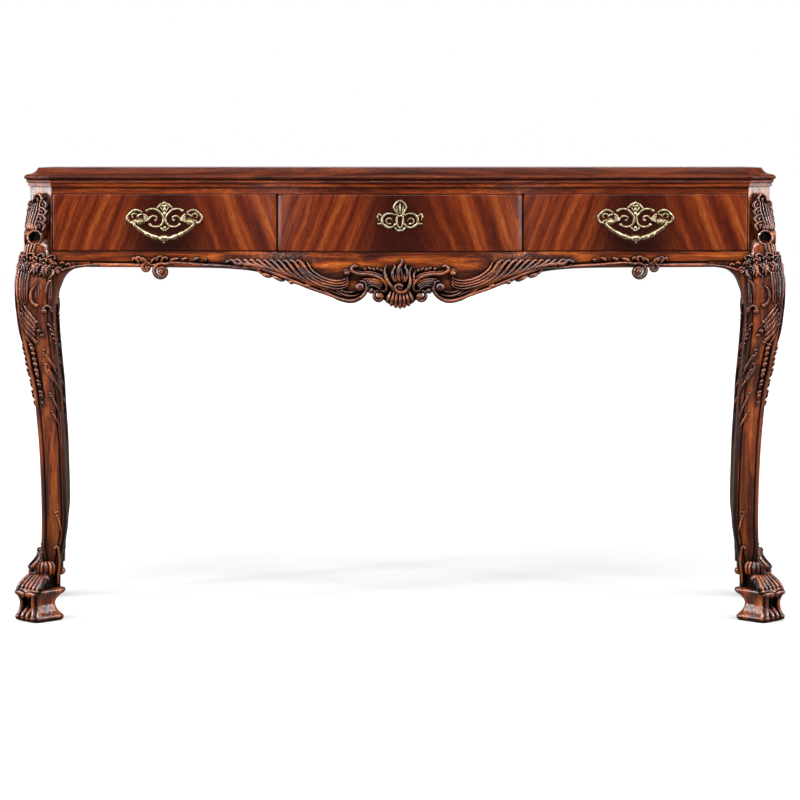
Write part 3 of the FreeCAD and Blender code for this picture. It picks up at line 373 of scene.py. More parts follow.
def front_leg_square(z):
    """Bounds of the leg's square section at a height."""
    kick = np.interp(z, line_rows[:, 0], line_rows[:, 1])
    side = np.interp(z, line_rows[:, 0], line_rows[:, 2])
    x1 = SIDE_HALF + kick
    y0 = FRONT_Y - kick
    return x1 - side, x1, y0, y0 + side


def arris(z, side):
    """Radius of the leg's corners: small below, growing through the neck until it is nearly round."""
    return min(np.interp(z, NECK_HEIGHTS, (ARRIS_RADIUS, NECK_RADIUS)), 0.46 * side)


def leg_skin(square, turn=1):
    """Surface of a leg: w is the distance from its outer arris, inward along the front when positive."""
    def skin(w, z):
        x0, x1, y0, y1 = square(z)
        x, y, _, _ = outline(x0, x1, y0, y1, arris(z, x1 - x0), turn * w)
        return x, y, z
    return skin


def beaded_core(carving, square, lit_share):
    """The leg's own body: rings of the square with a bead on each arris and a quirk beside it, and a
    channel cut beside the outer bead for the falling husks. Its tone is painted dark in the quirks and
    the channel, as glaze and shade, and darker on the inner side, as shade. It is made darker towards
    the ankle, and the last argument scales all of it down, painting a whole leg darker, as shade."""
    rings, crest = [], []
    for z in np.arange(CABRIOLE[0][0], CABRIOLE[-1][0] + 0.1, 3.4):
        x0, x1, y0, y1 = square(z)
        r = arris(z, min(x1 - x0, y1 - y0))
        arc = math.pi * r / 2
        sides = [x1 - x0 - 2 * r + arc, y1 - y0 - 2 * r + arc] * 2
        marks = np.cumsum([0] + sides)
        quirk = QUIRK_DEPTH * np.clip((QUIRK_TOP - z) / 14, 0, 1)
        low = np.interp(z, ANKLE_HEIGHTS, (ANKLE_TONE, 1.0)) * lit_share
        husks = np.clip((HUSK_TOP - z) / 16, 0, 1) * np.clip((z - HUSK_FOOT) / 30, 0, 1)
        ring, tone = [], []
        for s in np.linspace(0, marks[-1], 168, endpoint=False):
            first = min(s, marks[-1] - s)
            dip = quirk * math.exp(-((np.abs(marks - s).min() - BEAD_RUN) / QUIRK_WIDTH) ** 2)
            channel = husks * math.exp(-((first - HUSK_LINE) / 6) ** 4)
            x, y, nx, ny = outline(x0, x1, y0, y1, r, s)
            depth = dip + CHANNEL_DEPTH * channel
            ring.append((x - nx * depth, y - ny * depth, z))
            inner = INNER_SHADE_TONE if marks[1] - 4 < s < marks[2] - 6 else 1.0
            tone.append((1 - 0.45 * dip - 0.75 * channel) * low * inner)
        rings.append(ring)
        crest.append(tone)
    carving.loft(np.array(rings), crest)


def knee_leaf(c):
    """Acanthus wrapped over the outer arris: long reeds, lobes that end in knobs, then falling husks."""
    c.bundle([(2, 733), (2, 705), (2, 665), (4, 628)], [(22, 724), (22, 703), (21, 672), (20, 642)], 5, 6,
             4.6, ends=(0.5, 0.6))
    c.bundle([(3, 768), (3, 752), (4, 736)], [(17, 764), (16, 750), (13, 738)], 3, 6, 3.4, ends=(0.8, 0.5))
    c.bundle([(8, 648), (20, 626), (33, 606)], [(3, 604), (10, 586), (25, 566)], 5, 9.4, 6,
             ends=(0.35, 0.9), peak=0.8)
    c.bundle([(5, 640), (12, 622), (20, 606)], [(2, 596), (6, 580), (14, 562)], 4, 5, 4.6, ends=(0.35, 0.7),
             peak=0.7)
    for a, b, r in ((33, 606, 4.6), (36, 588, 5.6), (40, 579, 5), (25, 565, 5), (29, 596, 4.4),
                    (14, 560, 4.4)):
        c.ball(a, b, r, 1.5)
    c.strand([(39, 680), (31, 670), (28, 658), (29, 647), (37, 639, 2)], 8, 5.6, ends=(0.5, 0.9))
    c.ball(38, 639, 5.2, 1.5)
    c.strand([(69, 690, 2), (64, 685), (60, 673), (58, 648)], 7, 4.4, ends=(0.9, 0.3))
    c.strand([(52, 628, 2), (54, 636, 1), (61, 638), (67, 631), (69, 618), (68, 602)], 7.4, 5.4,
             ends=(0.8, 0.4))
    c.ball(52.5, 628, 6, 1.5)
    c.bundle([(62, 632), (70, 620), (68, 600)], [(78, 638), (79, 622), (73, 602)], 4, 6, 5, ends=(0.6, 0.5))
    for k in range(6):
        size = 1.1 - 0.1 * k
        b = 604 - 10 * k
        c.strand([(56 + k, b, 1), (60 + k, b - 6, 1), (62 + k, b - 15)], 7 * size, 4.6 * size,
                 ends=(0.9, 0.3), peak=0.2)
        c.strand([(69 - k, b, 1), (66 - k, b - 6, 1), (63 - k, b - 15)], 6 * size, 4 * size,
                 ends=(0.9, 0.3), peak=0.2)
    for k in range(11):
        size = 1.2 - 0.05 * k + 0.16 * math.sin(5 * k)
        b = 556 - 11 * k + 2 * math.sin(3 * k)
        c.strand([(HUSK_LINE - 3, b, 1), (HUSK_LINE + 2, b - 4, 1.5), (HUSK_LINE, b - 12)], 8 * size,
                 5.2 * size, ends=(0.95, 0.4), peak=0.2, sunk=6)


def knee_curls(c):
    """Cuff of small curled leaves, no two alike, that covers the joint between the leg and the apron."""
    c.strand([(3, 727), (24, 722, 1), (46, 718, 1), (68, 714)], 7, 4, ends=(0.5, 0.5))
    for a, b, size, lean in CUFF:
        c.strand([(a - 8 * size, b - 4, 1), (a - 3 * size, b + 4 * size, 3),
                  (a + 4 * size, b + 4 * size, 4), (a + 6 * size, b - 3 * size, 3)], 5.6 * size, 5.4,
                 ends=(0.4, 0.9), peak=0.6)
        c.strand([(a - 3 * size, b - 5, 1), (a + size, b - size, 3), (a + 3 * size, b - 8 * size, 3)],
                 4.4 * size, 5, ends=(0.4, 0.9))
        c.strand([(a, b - 7 * size, 1), (a + lean, b - 17 * size, 2.5), (a - lean / 2, b - 30 * size, 1)],
                 7 * size, 5.2, ends=(0.9, 0.3), peak=0.35)
        c.strand([(a - 5 * size, b - 6 * size), (a - 7 * size - lean / 2, b - 14 * size, 1.5),
                  (a - 4 * size, b - 23 * size, 1)], 5 * size, 4.4, ends=(0.5, 0.7))
        c.strand([(a + 5 * size, b - 8 * size, 1), (a + 6 * size + lean, b - 15 * size, 2),
                  (a + 2 * size + lean, b - 22 * size, 1)], 4.6 * size, 4.2, ends=(0.7, 0.4))
        c.ball(a + 5 * size, b - 4 * size, 3.2 * size, 2.5)


def face_sprig(c):
    """Low-relief sprig down the flat of the leg, beside the inner bead."""
    for row in ([(37, 546), (36, 539), (44, 529), (52, 516), (58, 504)],
                [(40, 541), (46, 527), (51, 511), (54, 490)],
                [(35, 518), (34, 509), (42, 492), (50, 477), (53, 452), (51, 425)],
                [(38, 512), (45, 496), (50, 478)], [(35, 458), (38, 446), (43, 433), (47, 418)],
                [(34, 421), (37, 411), (42, 401), (46, 389)]):
        c.strand([(a, b, 0.5) for a, b in row], 6.4, 3.6, ends=(0.85, 0.25), peak=0.25)
    c.strand([(48, 420), (46, 380), (44, 330)], 3.4, 2, ends=(0.9, 0.2))
    c.strand([(29, 215), (35, 197), (40, 176)], 5, 2.6, ends=(0.8, 0.2))
    c.strand([(28, 144), (31, 150, 1), (34, 142, 1), (31, 116, 1), (25, 92, 1), (22, 70, 1)], 6, 4,
             ends=(0.6, 0.8), peak=0.3)
    for a, b, r in ((38, 549, 4.6), (36, 520, 4.6), (34, 460, 3.8), (33, 423, 3.4), (29, 218, 3),
                    (28, 146, 3.4)):
        c.ball(a, b, r, 0.5)


# Place across and up, size and lean of each leaf in the cuff
CUFF = ((4, 731, 0.9, 2), (13, 736, 1.2, -4), (23, 729, 1.0, 5), (33, 734, 1.3, -3), (44, 725, 1.0, 5),
        (53, 730, 1.25, -5), (64, 719, 1.0, 3))
leg = Carving(leg_skin(front_leg_square), twin=True)
beaded_core(leg, front_leg_square, 1.0)
knee_leaf(leg)
knee_curls(leg)
face_sprig(leg)
leg.strand([(54, 748, 0.5), (49, 738, 1), (43, 727, 0.5)], 3, 2.6, one=True)

# The ear that brackets the knee to the underside of the apron: distance from the middle and height
EAR = [(618, 717), (650, 712), (667, 704), (678, 691.5), (685.5, 673), (690, 658), (694, 640)]
EAR_FRONT = -157.0
EAR_BACK = -98.0


def ear_face(x, z):
    """Front of the ear."""
    return x, EAR_FRONT, z


def knee_ear(c):
    """Concave bracket under the apron, with the edge bead running into a small volute on its face."""
    section = [*flow(EAR, 3.0), (703, 636), (703, 724), (618, 724)]
    rings = []
    for y, inset in ((EAR_FRONT, 1.2), (EAR_FRONT + 1.5, 0.0), (EAR_BACK, 0.0)):
        rings.append([(x + inset, y, z + inset) for x, z in section])
    # The ear's body is painted a little darker than its strands, as shade under the apron.
    c.loft(np.array(rings), np.full((3, len(section)), 0.8))
    c.surface, c.turn = ear_face, -1.0
    volute = coil(684, 708, 7.5, 175, -1.1, 0.3, 3)
    c.strand([(600, 719, -6), (627, 719, -2), (657, 715), (673, 710, 1)] + volute, 6.4, 5,
             ends=(0.5, 0.9), peak=0.7, one=True)
    c.ball(684, 708, 4, 2, one=True)
    for a, b in ((664, 719), (676, 722), (690, 720)):
        c.strand([(a - 6, b - 3, 1), (a, b + 3, 2.5), (a + 6, b - 2, 2)], 6, 4.6, ends=(0.4, 0.8), one=True)


knee_ear(leg)


# Height, then how far the block reaches outward, inward and sideways
BLOCK = np.array([(0, 31, 38, 31), (4, 33.5, 41, 33.5), (9, 34, 41, 34), (15, 32, 36, 31),
                  (21, 29.5, 30, 28), (29, 28, 26, 26), (37, 28, 25, 25), (44, 29, 28, 26.5),
                  (51, 31.5, 35, 29.5), (56, 34, 44, 33), (61, 34.5, 47, 34), (65, 32, 46, 32)], float)
# Height with the reach of the slope over the toes, and with the radius of the collar
SLOPE = np.array([(58, 28), (64, 25), (74, 16), (86, 5), (94, 0), (106, -6)], float)
COLLAR = np.array([(89, 12.5), (97, 15), (105, 15.5), (112, 14.5), (119, 11)], float)
COLLAR_MIDDLE = -17.0
COLLAR_RADIUS = 16.0
TOE_COLUMN = 20.0
TOE_INNER = 7.4
RIB_PITCH = 12.4
GADROON_PITCH = 7.4


class Foot:
    """Place of a foot: the block's centre, its outward direction, and how far it reaches out and back."""

    def __init__(self, x, y, degrees, reach, heel):
        self.x, self.y, self.reach, self.heel = x, y, reach, heel
        turn = math.radians(degrees)
        self.u = (math.cos(turn), math.sin(turn))
        self.v = (math.sin(turn), -math.cos(turn))

    def at(self, u, v, z):
        """Point u outward and v across from the middle of the foot."""
        return self.x + u * self.u[0] + v * self.v[0], self.y + u * self.u[1] + v * self.v[1], z

    def face(self, v, z):
        """Outward face of the block."""
        return self.at(np.interp(z, BLOCK[:, 0], BLOCK[:, 1]) + self.reach, v, z)

    def slope(self, v, z):
        """Slope over the toes that carries the ribs."""
        return self.at(np.interp(z, SLOPE[:, 0], SLOPE[:, 1]) + self.reach * np.clip((98 - z) / 30, 0, 1),
                       v, z)

    def collar(self, a, z):
        """Cushion round the ankle; a is the distance round it from the outward direction."""
        r = np.interp(z, COLLAR[:, 0], COLLAR[:, 1])
        turn = a / COLLAR_RADIUS
        return self.at(COLLAR_MIDDLE + r * math.cos(turn), r * math.sin(turn), z)

    def side(self, u, z):
        """Upright plane beside the ankle."""
        return self.at(u, -8.0, z)


def paw_foot(foot, wood, name):
    """Scrolled block with toes under an arch on its outward face, a ribbed slope and a gadrooned collar."""
    c = Carving(foot.face, twin=True)
    rings, crest = [], []
    for z, out, back, side in flow(BLOCK, 2.0):
        ring, tone = [], []
        for turn in circle(96):
            k = 1 / (abs(math.cos(turn)) ** 7 + abs(math.sin(turn)) ** 7) ** (1 / 7)
            u = k * math.cos(turn)
            v = k * math.sin(turn) * side
            arch = max(0, 1 - (v / 21) ** 4) * np.clip(min(z - 11, 54 - z) / 13, 0, 1) if u > 0.9 else 0
            ring.append(foot.at(u * (out + foot.reach if u > 0 else back * foot.heel) - 9 * arch, v, z))
            # The hollow under the arch is painted dark, as shade.
            tone.append(0.95 - 0.8 * arch)
        rings.append(ring)
        crest.append(tone)
    c.loft(np.array(rings), crest)
    c.strand([(TOE_COLUMN + 5, 57, -1), (TOE_COLUMN - 1, 41, 0), (TOE_COLUMN, 25, 0.5),
              (TOE_COLUMN + 5, 7, 0)], 11.5, 5, ends=(0.9, 1), sunk=9)
    c.strand([(TOE_INNER, 30, -7), (TOE_INNER, 18, -1), (TOE_INNER, 5, 1)], 12.5, 6.5, ends=(0.6, 1), sunk=9)
    c.strand([(0, 55, 0), (16, 58, 0.5), (34, 57, 0)], 11, 4.5, ends=(0.9, 0.9))
    for a, b, r in ((TOE_COLUMN + 4, 8.5, 7), (TOE_INNER, 8, 6.6), (9, 53, 4.6), (24, 56, 5)):
        c.ball(a, b, r, 0.5)
    c.surface = foot.slope
    rings = []
    for z in np.arange(55, 102, 3.0):
        side = np.interp(z, (55, 69, 102), (31, 29, 16))
        ring = [foot.slope(v, z) for v in np.linspace(-side, side, 9)]
        rings.append(ring + [foot.at(-28, 12, z), foot.at(-28, -12, z)])
    # The slope's body between the ribs is painted dark, as glaze and shade.
    c.loft(np.array(rings), np.full((len(rings), 11), 0.2))
    for k in range(6):
        v = (k - 2.5) * RIB_PITCH
        c.strand([(v * 0.72, 93, 0), (v * 0.8, 84, 2.5), (v * 0.94, 71, 3), (v, 61, 2)], 11.6, 6.5,
                 ends=(0.65, 0.95), peak=0.8, one=True)
        c.ball(v, 62, 4.8, 4, one=True)
    for v in (25, -25):
        c.knob(*foot.at(2, v, 87), 7.5)
        c.knob(*foot.at(9, v * 1.08, 80), 4.5)
    c.surface = foot.collar
    rings = []
    for z in np.arange(88, 120, 3.0):
        rings.append([foot.collar(COLLAR_RADIUS * (math.pi - t), z) for t in circle(40)])
    # The collar's body between the gadroons is painted dark, as glaze and shade.
    c.loft(np.array(rings), np.full((len(rings), 40), 0.2))
    for k in range(-5, 6):
        a = GADROON_PITCH * k
        c.strand([(a, 90, 0), (a, 97, 1.5), (a, 105, 2), (a, 112, 1.5), (a, 119, 0)], 8.8, 4.6,
                 ends=(0.6, 0.6), one=True)
    c.surface, c.turn = foot.side, -1.0
    c.strand([(-8, 141, 3), (-6, 131, 3), (1, 122, 3), (11, 114, 3), (19, 107, 2)], 8, 6, ends=(0.8, 0.9),
             one=True)
    c.strand([(-14, 134, 2), (-7, 121, 2), (3, 112, 2), (12, 105, 1)], 8, 6, ends=(0.8, 0.6), one=True)
    c.ball(-9, 141, 5.6, 3, one=True)
    return c.piece(name, wood)


def canted_post(name, wood, low, high, cuts):
    """Post above the leg: a squared length, planed off by the given faces, with softened arrises."""
    bpy.ops.object.select_all(action="DESELECT")
    middle = [(a + b) / 2 * MM for a, b in zip(low, high)]
    size = [(b - a) * MM for a, b in zip(low, high)]
    bpy.ops.mesh.primitive_cube_add(size=1, location=middle, scale=size)
    post = bpy.context.object
    bpy.ops.object.transform_apply(location=True, rotation=True, scale=True)
    bpy.ops.object.mode_set(mode="EDIT")
    for spot, normal in cuts:
        bpy.ops.mesh.select_all(action="SELECT")
        bpy.ops.mesh.bisect(plane_co=[c * MM for c in spot], plane_no=normal, use_fill=True, clear_outer=True)
    bpy.ops.mesh.select_all(action="SELECT")
    bpy.ops.mesh.bevel(offset=1.2 * MM, segments=2, affect="EDGES")
    bpy.ops.object.mode_set(mode="OBJECT")
    post.name = post.data.name = name
    # Its tone keeps it free of the dark laid in hollows, glaze and painted shade alike.
    crest = post.data.attributes.new("crest", "FLOAT", "POINT")
    crest.data.foreach_set("value", [UNSHADED_TONE] * len(post.data.vertices))
    post.data.materials.append(wood)
    return post


SIDE_FLARE = (7.0, 313.0)
flare = math.hypot(*SIDE_FLARE)
SIDE_NORMAL = (SIDE_FLARE[1] / flare, -SIDE_FLARE[0] / flare, 0)
diagonal = math.sqrt(0.5)
CANT_NORMAL = (diagonal, -diagonal, 0)
POST_LOW = 716.0
# Tone of a face kept free of the dark in its hollows too, both the glaze and the painted shade
UNSHADED_TONE = 1.75
post = canted_post("front_post", leg_wood, (DRAWER_ZONE_HALF, FRONT_Y, POST_LOW),
                   (SIDE_HALF + 20, FRONT_Y + POST_DEPTH, CARCASS_TOP),
                   (((DRAWER_ZONE_HALF, FRONT_Y, 0), CANT_NORMAL),
                    ((SIDE_HALF, FRONT_Y + CANT, 0), SIDE_NORMAL)))

# Height of the carved bracket, how far it stands out from the canted face, and its half width
BRACKET = np.array([(756, 8, 15), (764, 10, 16), (772, 11, 17), (782, 16, 20), (793, 23, 24), (806, 19, 28),
                    (822, 13, 29), (838, 8, 27), (850, 5, 20), (860, 2, 9)], float)
CANT_MIDDLE = (DRAWER_ZONE_HALF + CANT / 2, FRONT_Y + CANT / 2)
# Half of the roll under the bracket: how far out and across its rings stand, their radius and turn
ROLL = [(20, 0, 14, 0), (22, 7, 14.5, 15), (25, 12, 15.5, 35), (28, 15, 15.5, 45), (29, 16, 13.5, 45),
        (28, 15, 10.8, 45), (20, 8, 8.5, 45)]
ROLL_HEIGHT = 774.0


def on_cant(reach, v, z):
    """Point at a distance out from the canted face and v across it."""
    return CANT_MIDDLE[0] + diagonal * (reach - v), CANT_MIDDLE[1] - diagonal * (reach + v), z


def bracket_skin(v, z):
    """Rounded face of the bracket."""
    return on_cant(np.interp(z, BRACKET[:, 0], BRACKET[:, 1]) * (1 - (v / 38) ** 2) + 1.5, v, z)


def leaf_bracket(wood):
    """Leaf on the canted face that swells downward and rolls under in a hollow-ended volute."""
    c = Carving(bracket_skin)
    rings = []
    for z in np.arange(762, 859, 4.0):
        side = np.interp(z, BRACKET[:, 0], BRACKET[:, 2])
        ring = [bracket_skin(v, z) for v in np.linspace(-side, side, 13)]
        rings.append(ring + [on_cant(-6, side, z), on_cant(-6, -side, z)])
    # The leaf's body is painted a little darker than its strands, as shade.
    c.loft(np.array(rings), np.full((len(rings), 15), 0.9))
    c.bundle([(-15, 842, 0), (-19, 822, 0.5), (-15, 800, 1), (-12, 784, 1)],
             [(8, 848, 0), (13, 826, 0.5), (11, 804, 1), (10, 784, 1)], 5, 6.2, 4.4, ends=(0.5, 0.9))
    c.strand([(-12, 842, 1), (-6, 856, 2), (7, 859, 3), (17, 851, 3), (14, 841, 3)], 7, 6, ends=(0.5, 0.9))
    c.strand([(-4, 850, 2), (4, 851, 3), (8, 844, 3)], 5, 5, ends=(0.5, 0.9))
    for b in (843, 829, 815, 801):
        for side in (1, -1):
            c.strand([(side * 10, b + 5, 1), (side * 22, b + 3, 1.5), (side * 28, b - 5, 1),
                      (side * 23, b - 13, 0.5)], 7, 5.4, ends=(0.4, 0.9), peak=0.7)
            c.strand([(side * 13, b, 1), (side * 20, b - 3, 1.5), (side * 21, b - 10, 0.5)], 4.6, 4.4,
                     ends=(0.4, 0.8))
    roll = []
    ends = [(a, -v, r, -turn) for a, v, r, turn in ROLL[:0:-1]]
    for a, v, r, turn in ends + ROLL:
        out, over = r * math.cos(math.radians(turn)), r * math.sin(math.radians(turn))
        roll.append([on_cant(a + out * math.cos(t), v - over * math.cos(t), ROLL_HEIGHT + r * math.sin(t))
                     for t in circle(32)])
    # The hollow ends of the roll are painted black, as shade.
    crest = np.ones((len(roll), 32))
    crest[[0, 1, -2, -1]] = 0.0
    c.loft(np.array(roll), crest)
    for v in (-14, -7, 0, 7, 14):
        c.strand([(v, 800, 1), (v, 792, 2), (v * 0.95, 785, 2.5)], 6.6, 3.6, ends=(0.7, 0.7), sunk=8)
    return c.piece("bracket", wood)


def joined(name, *parts):
    """One piece from several meshes of the same wood."""
    bpy.ops.object.select_all(action="DESELECT")
    for part in parts:
        part.select_set(True)
    bpy.context.view_layer.objects.active = parts[0]
    bpy.ops.object.join()
    parts[0].name = parts[0].data.name = name
    return parts[0]


FOOT_BACKSET = 18.0
front_foot = Foot(SIDE_HALF - FOOT_BACKSET, FRONT_Y + FOOT_BACKSET, -45, 0.0, 1.0)
front_leg = joined("front_right_leg_carved", leg.piece("leg", leg_wood),
                   paw_foot(front_foot, leg_wood, "foot"), post, leaf_bracket(leg_wood))
for side, piece in (("right", front_leg), ("left", mirrored(front_leg, "front_left_leg_carved"))):
    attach(piece, "carcass")
    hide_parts("front_%s_leg" % side)


# Rear legs: the same cabriole line, but flat at the back so that the table stands against a wall.
# Their carving wraps over the front outer arris, and the foot turns straight out to the side.
REAR_HALF = 754.0
BACK_Y = 214.0
REAR_DEPTH = 62.0
REAR_POST = 52.0
REAR_FOOT_REACH = 3.0
REAR_HEEL = 0.5
REAR_FOOT_X = 747.0
HEEL_KNOB = (-25.0, 0.0, 54.0, 9.0)
NECK_INSET = 1.0
WALL_MARGIN = 7.0
REAR_KICK = 8.0
REAR_SLIM = 16.0
# Share of the tone that the rear legs keep: they are painted darker all over, as shade
REAR_LIT_SHARE = 0.7


def rear_leg_square(z):
    """The front leg's square moved out and slimmed, flat at the wall and let into the post at its top."""
    x0, x1, _, _ = front_leg_square(z)
    shift = REAR_HALF - SIDE_HALF + REAR_KICK
    wall = BACK_Y - (NECK_INSET if z > POST_LOW else 0.0)
    return x0 + shift + REAR_SLIM, x1 + shift, wall - min(x1 - x0, REAR_DEPTH), wall


rear_foot = Foot(REAR_FOOT_X, BACK_Y - BLOCK[2, 3], 0, REAR_FOOT_REACH, REAR_HEEL)
leg = Carving(leg_skin(rear_leg_square))
beaded_core(leg, rear_leg_square, REAR_LIT_SHARE)
core = len(leg.verts)
knee_leaf(leg)
knee_curls(leg)
face_sprig(leg)
leg.surface = leg_skin(rear_leg_square, -1)
leg.turn = -1.0
knee_leaf(leg)
knee_curls(leg)
leg.verts[core:] = [(x, min(y, BACK_Y - WALL_MARGIN), z) for x, y, z in leg.verts[core:]]
leg.knob(*rear_foot.at(*HEEL_KNOB[:3]), HEEL_KNOB[3])
post = canted_post("rear_post", leg_wood, (REAR_HALF - REAR_POST, BACK_Y - REAR_DEPTH, POST_LOW),
                   (REAR_HALF, BACK_Y, CARCASS_TOP), ())
rear_leg = joined("rear_right_leg_carved", leg.piece("leg", leg_wood),
                  paw_foot(rear_foot, leg_wood, "foot"), post)
for vert in rear_leg.data.vertices:
    vert.co.y = min(vert.co.y, BACK_Y * MM)
for side, piece in (("right", rear_leg), ("left", mirrored(rear_leg, "rear_left_leg_carved"))):
    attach(piece, "carcass")
    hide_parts("rear_%s_leg" % side)


# Rails, partitions and drawer bearers: plain mahogany boards behind the show faces, and a paler
# secondary wood where nothing is seen. They are tenoned and glued between the legs.
RAIL_STOPS = ((0.25, "#351108"), (0.45, "#66260f"), (0.6, "#924019"), (0.78, "#b45e28"))
POPLAR_STOPS = ((0.25, "#8f6f45"), (0.5, "#b1915f"), (0.75, "#c7aa78"))
rail_wood = mahogany("mahogany_rail", "X", RAIL_STOPS)
side_wood = mahogany("mahogany_side_rail", "Y", RAIL_STOPS)
inner_wood = mahogany("oiled_poplar", "Y", POPLAR_STOPS, coat=0.05)


def dress(material, *names):
    """Give CAD nodes their material."""
    for name in names:
        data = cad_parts[name].data
        data.materials.clear()
        data.materials.append(material)


dress(rail_wood, "front_top_rail", "back_rail")
dress(side_wood, "left_side_rail", "right_side_rail")
dress(inner_wood, "left_partition", "right_partition", "drawer_runners", "drawer_guides", "drawer_kickers",
      "drawer_stops", "rear_corner_blocks")


# Apron carving: acanthus, shell and scrolls worked in the solid on the face of the front apron,
# with a bead run along its lower edge. The strands are polished on their crests, and the black
# between them is partly glaze and partly painted shade.
BULGE = 60.0
BULGE_RUN = 470.0
ARC_R = (BULGE_RUN ** 2 / 4 + BULGE ** 2 / 4) / BULGE
apron_wood = mahogany("carved_mahogany_apron", "X", LEG_STOPS, carved=True, coat=1.0)


def front_line(x, out):
    """Depth of the serpentine front, moved outward by out."""
    run = abs(x)
    if run >= BULGE_RUN:
        return FRONT_Y - out
    if run >= BULGE_RUN / 2:
        return FRONT_Y - ARC_R + math.sqrt((ARC_R - out) ** 2 - (BULGE_RUN - run) ** 2)
    return FRONT_Y - BULGE + ARC_R - math.sqrt((ARC_R + out) ** 2 - run * run)


def apron_face(x, z):
    """Ground that the apron's carving is laid on."""
    return x, front_line(x, 1.0), z


# Distance from the middle and height along the lower edge of the apron
APRON_EDGE = [(0, 640), (20, 643), (30, 650), (44, 664), (58, 675), (66, 672), (76, 662), (86, 653),
              (100, 650), (116, 652), (136, 660), (180, 673), (222, 687), (256, 700), (298, 708),
              (330, 711), (370, 713), (462, 714), (566, 714.5), (640, 715), (698, 715)]
APRON_TOP = 746.6
APRON_BACK = -20.0
APRON_SOFT = 0.8
EDGE_BEAD = 4.2
BEAD_START = 300.0
BEAD_FADE = 60.0
edge_rows = flow(APRON_EDGE, 2.0)


def edge_height(x):
    """Height of the apron's lower edge."""
    return np.interp(abs(x), edge_rows[:, 0], edge_rows[:, 1])


def shaped_apron(name, wood):
    """Serpentine board with a flat band at its top and a bead run along the outer part of its lower edge."""
    rings, crest = [], []
    for x in np.linspace(-DRAWER_ZONE_HALF, DRAWER_ZONE_HALF, 420):
        low = edge_height(x)
        bead = EDGE_BEAD * np.clip((abs(x) - BEAD_START) / BEAD_FADE, 0, 1)
        section = [(APRON_BACK, APRON_TOP), (-APRON_SOFT, APRON_TOP), (0, APRON_TOP - APRON_SOFT)]
        section += [(0, z) for z in np.linspace(APRON_TOP - 4, low + 2 * bead + 3.2, 7)]
        quirk = -1.4 * bead / EDGE_BEAD
        section += [(quirk, low + 2 * bead + 1.4), (quirk, low + 2 * bead + 0.2)]
        section += [(bead * (0.2 + math.cos(t)), low + bead * (1 + math.sin(t)))
                    for t in np.radians(np.linspace(78, -90, 9))]
        section += [(APRON_BACK, low)]
        rings.append([(x, front_line(x, out), z) for out, z in section][::-1])
        # The quirk above the bead is painted dark, and the face just over it half dark, as glaze and shade.
        crest.append(([1] * 9 + [0.5, 0.0, 0.0] + [0.6] + [1] * 8 + [0.6])[::-1])
    c = Carving(apron_face)
    c.loft(np.array(rings), crest)
    return c.piece(name, wood, 35)


apron = shaped_apron("shaped_apron", apron_wood)
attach(apron, "carcass")
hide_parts("front_apron")


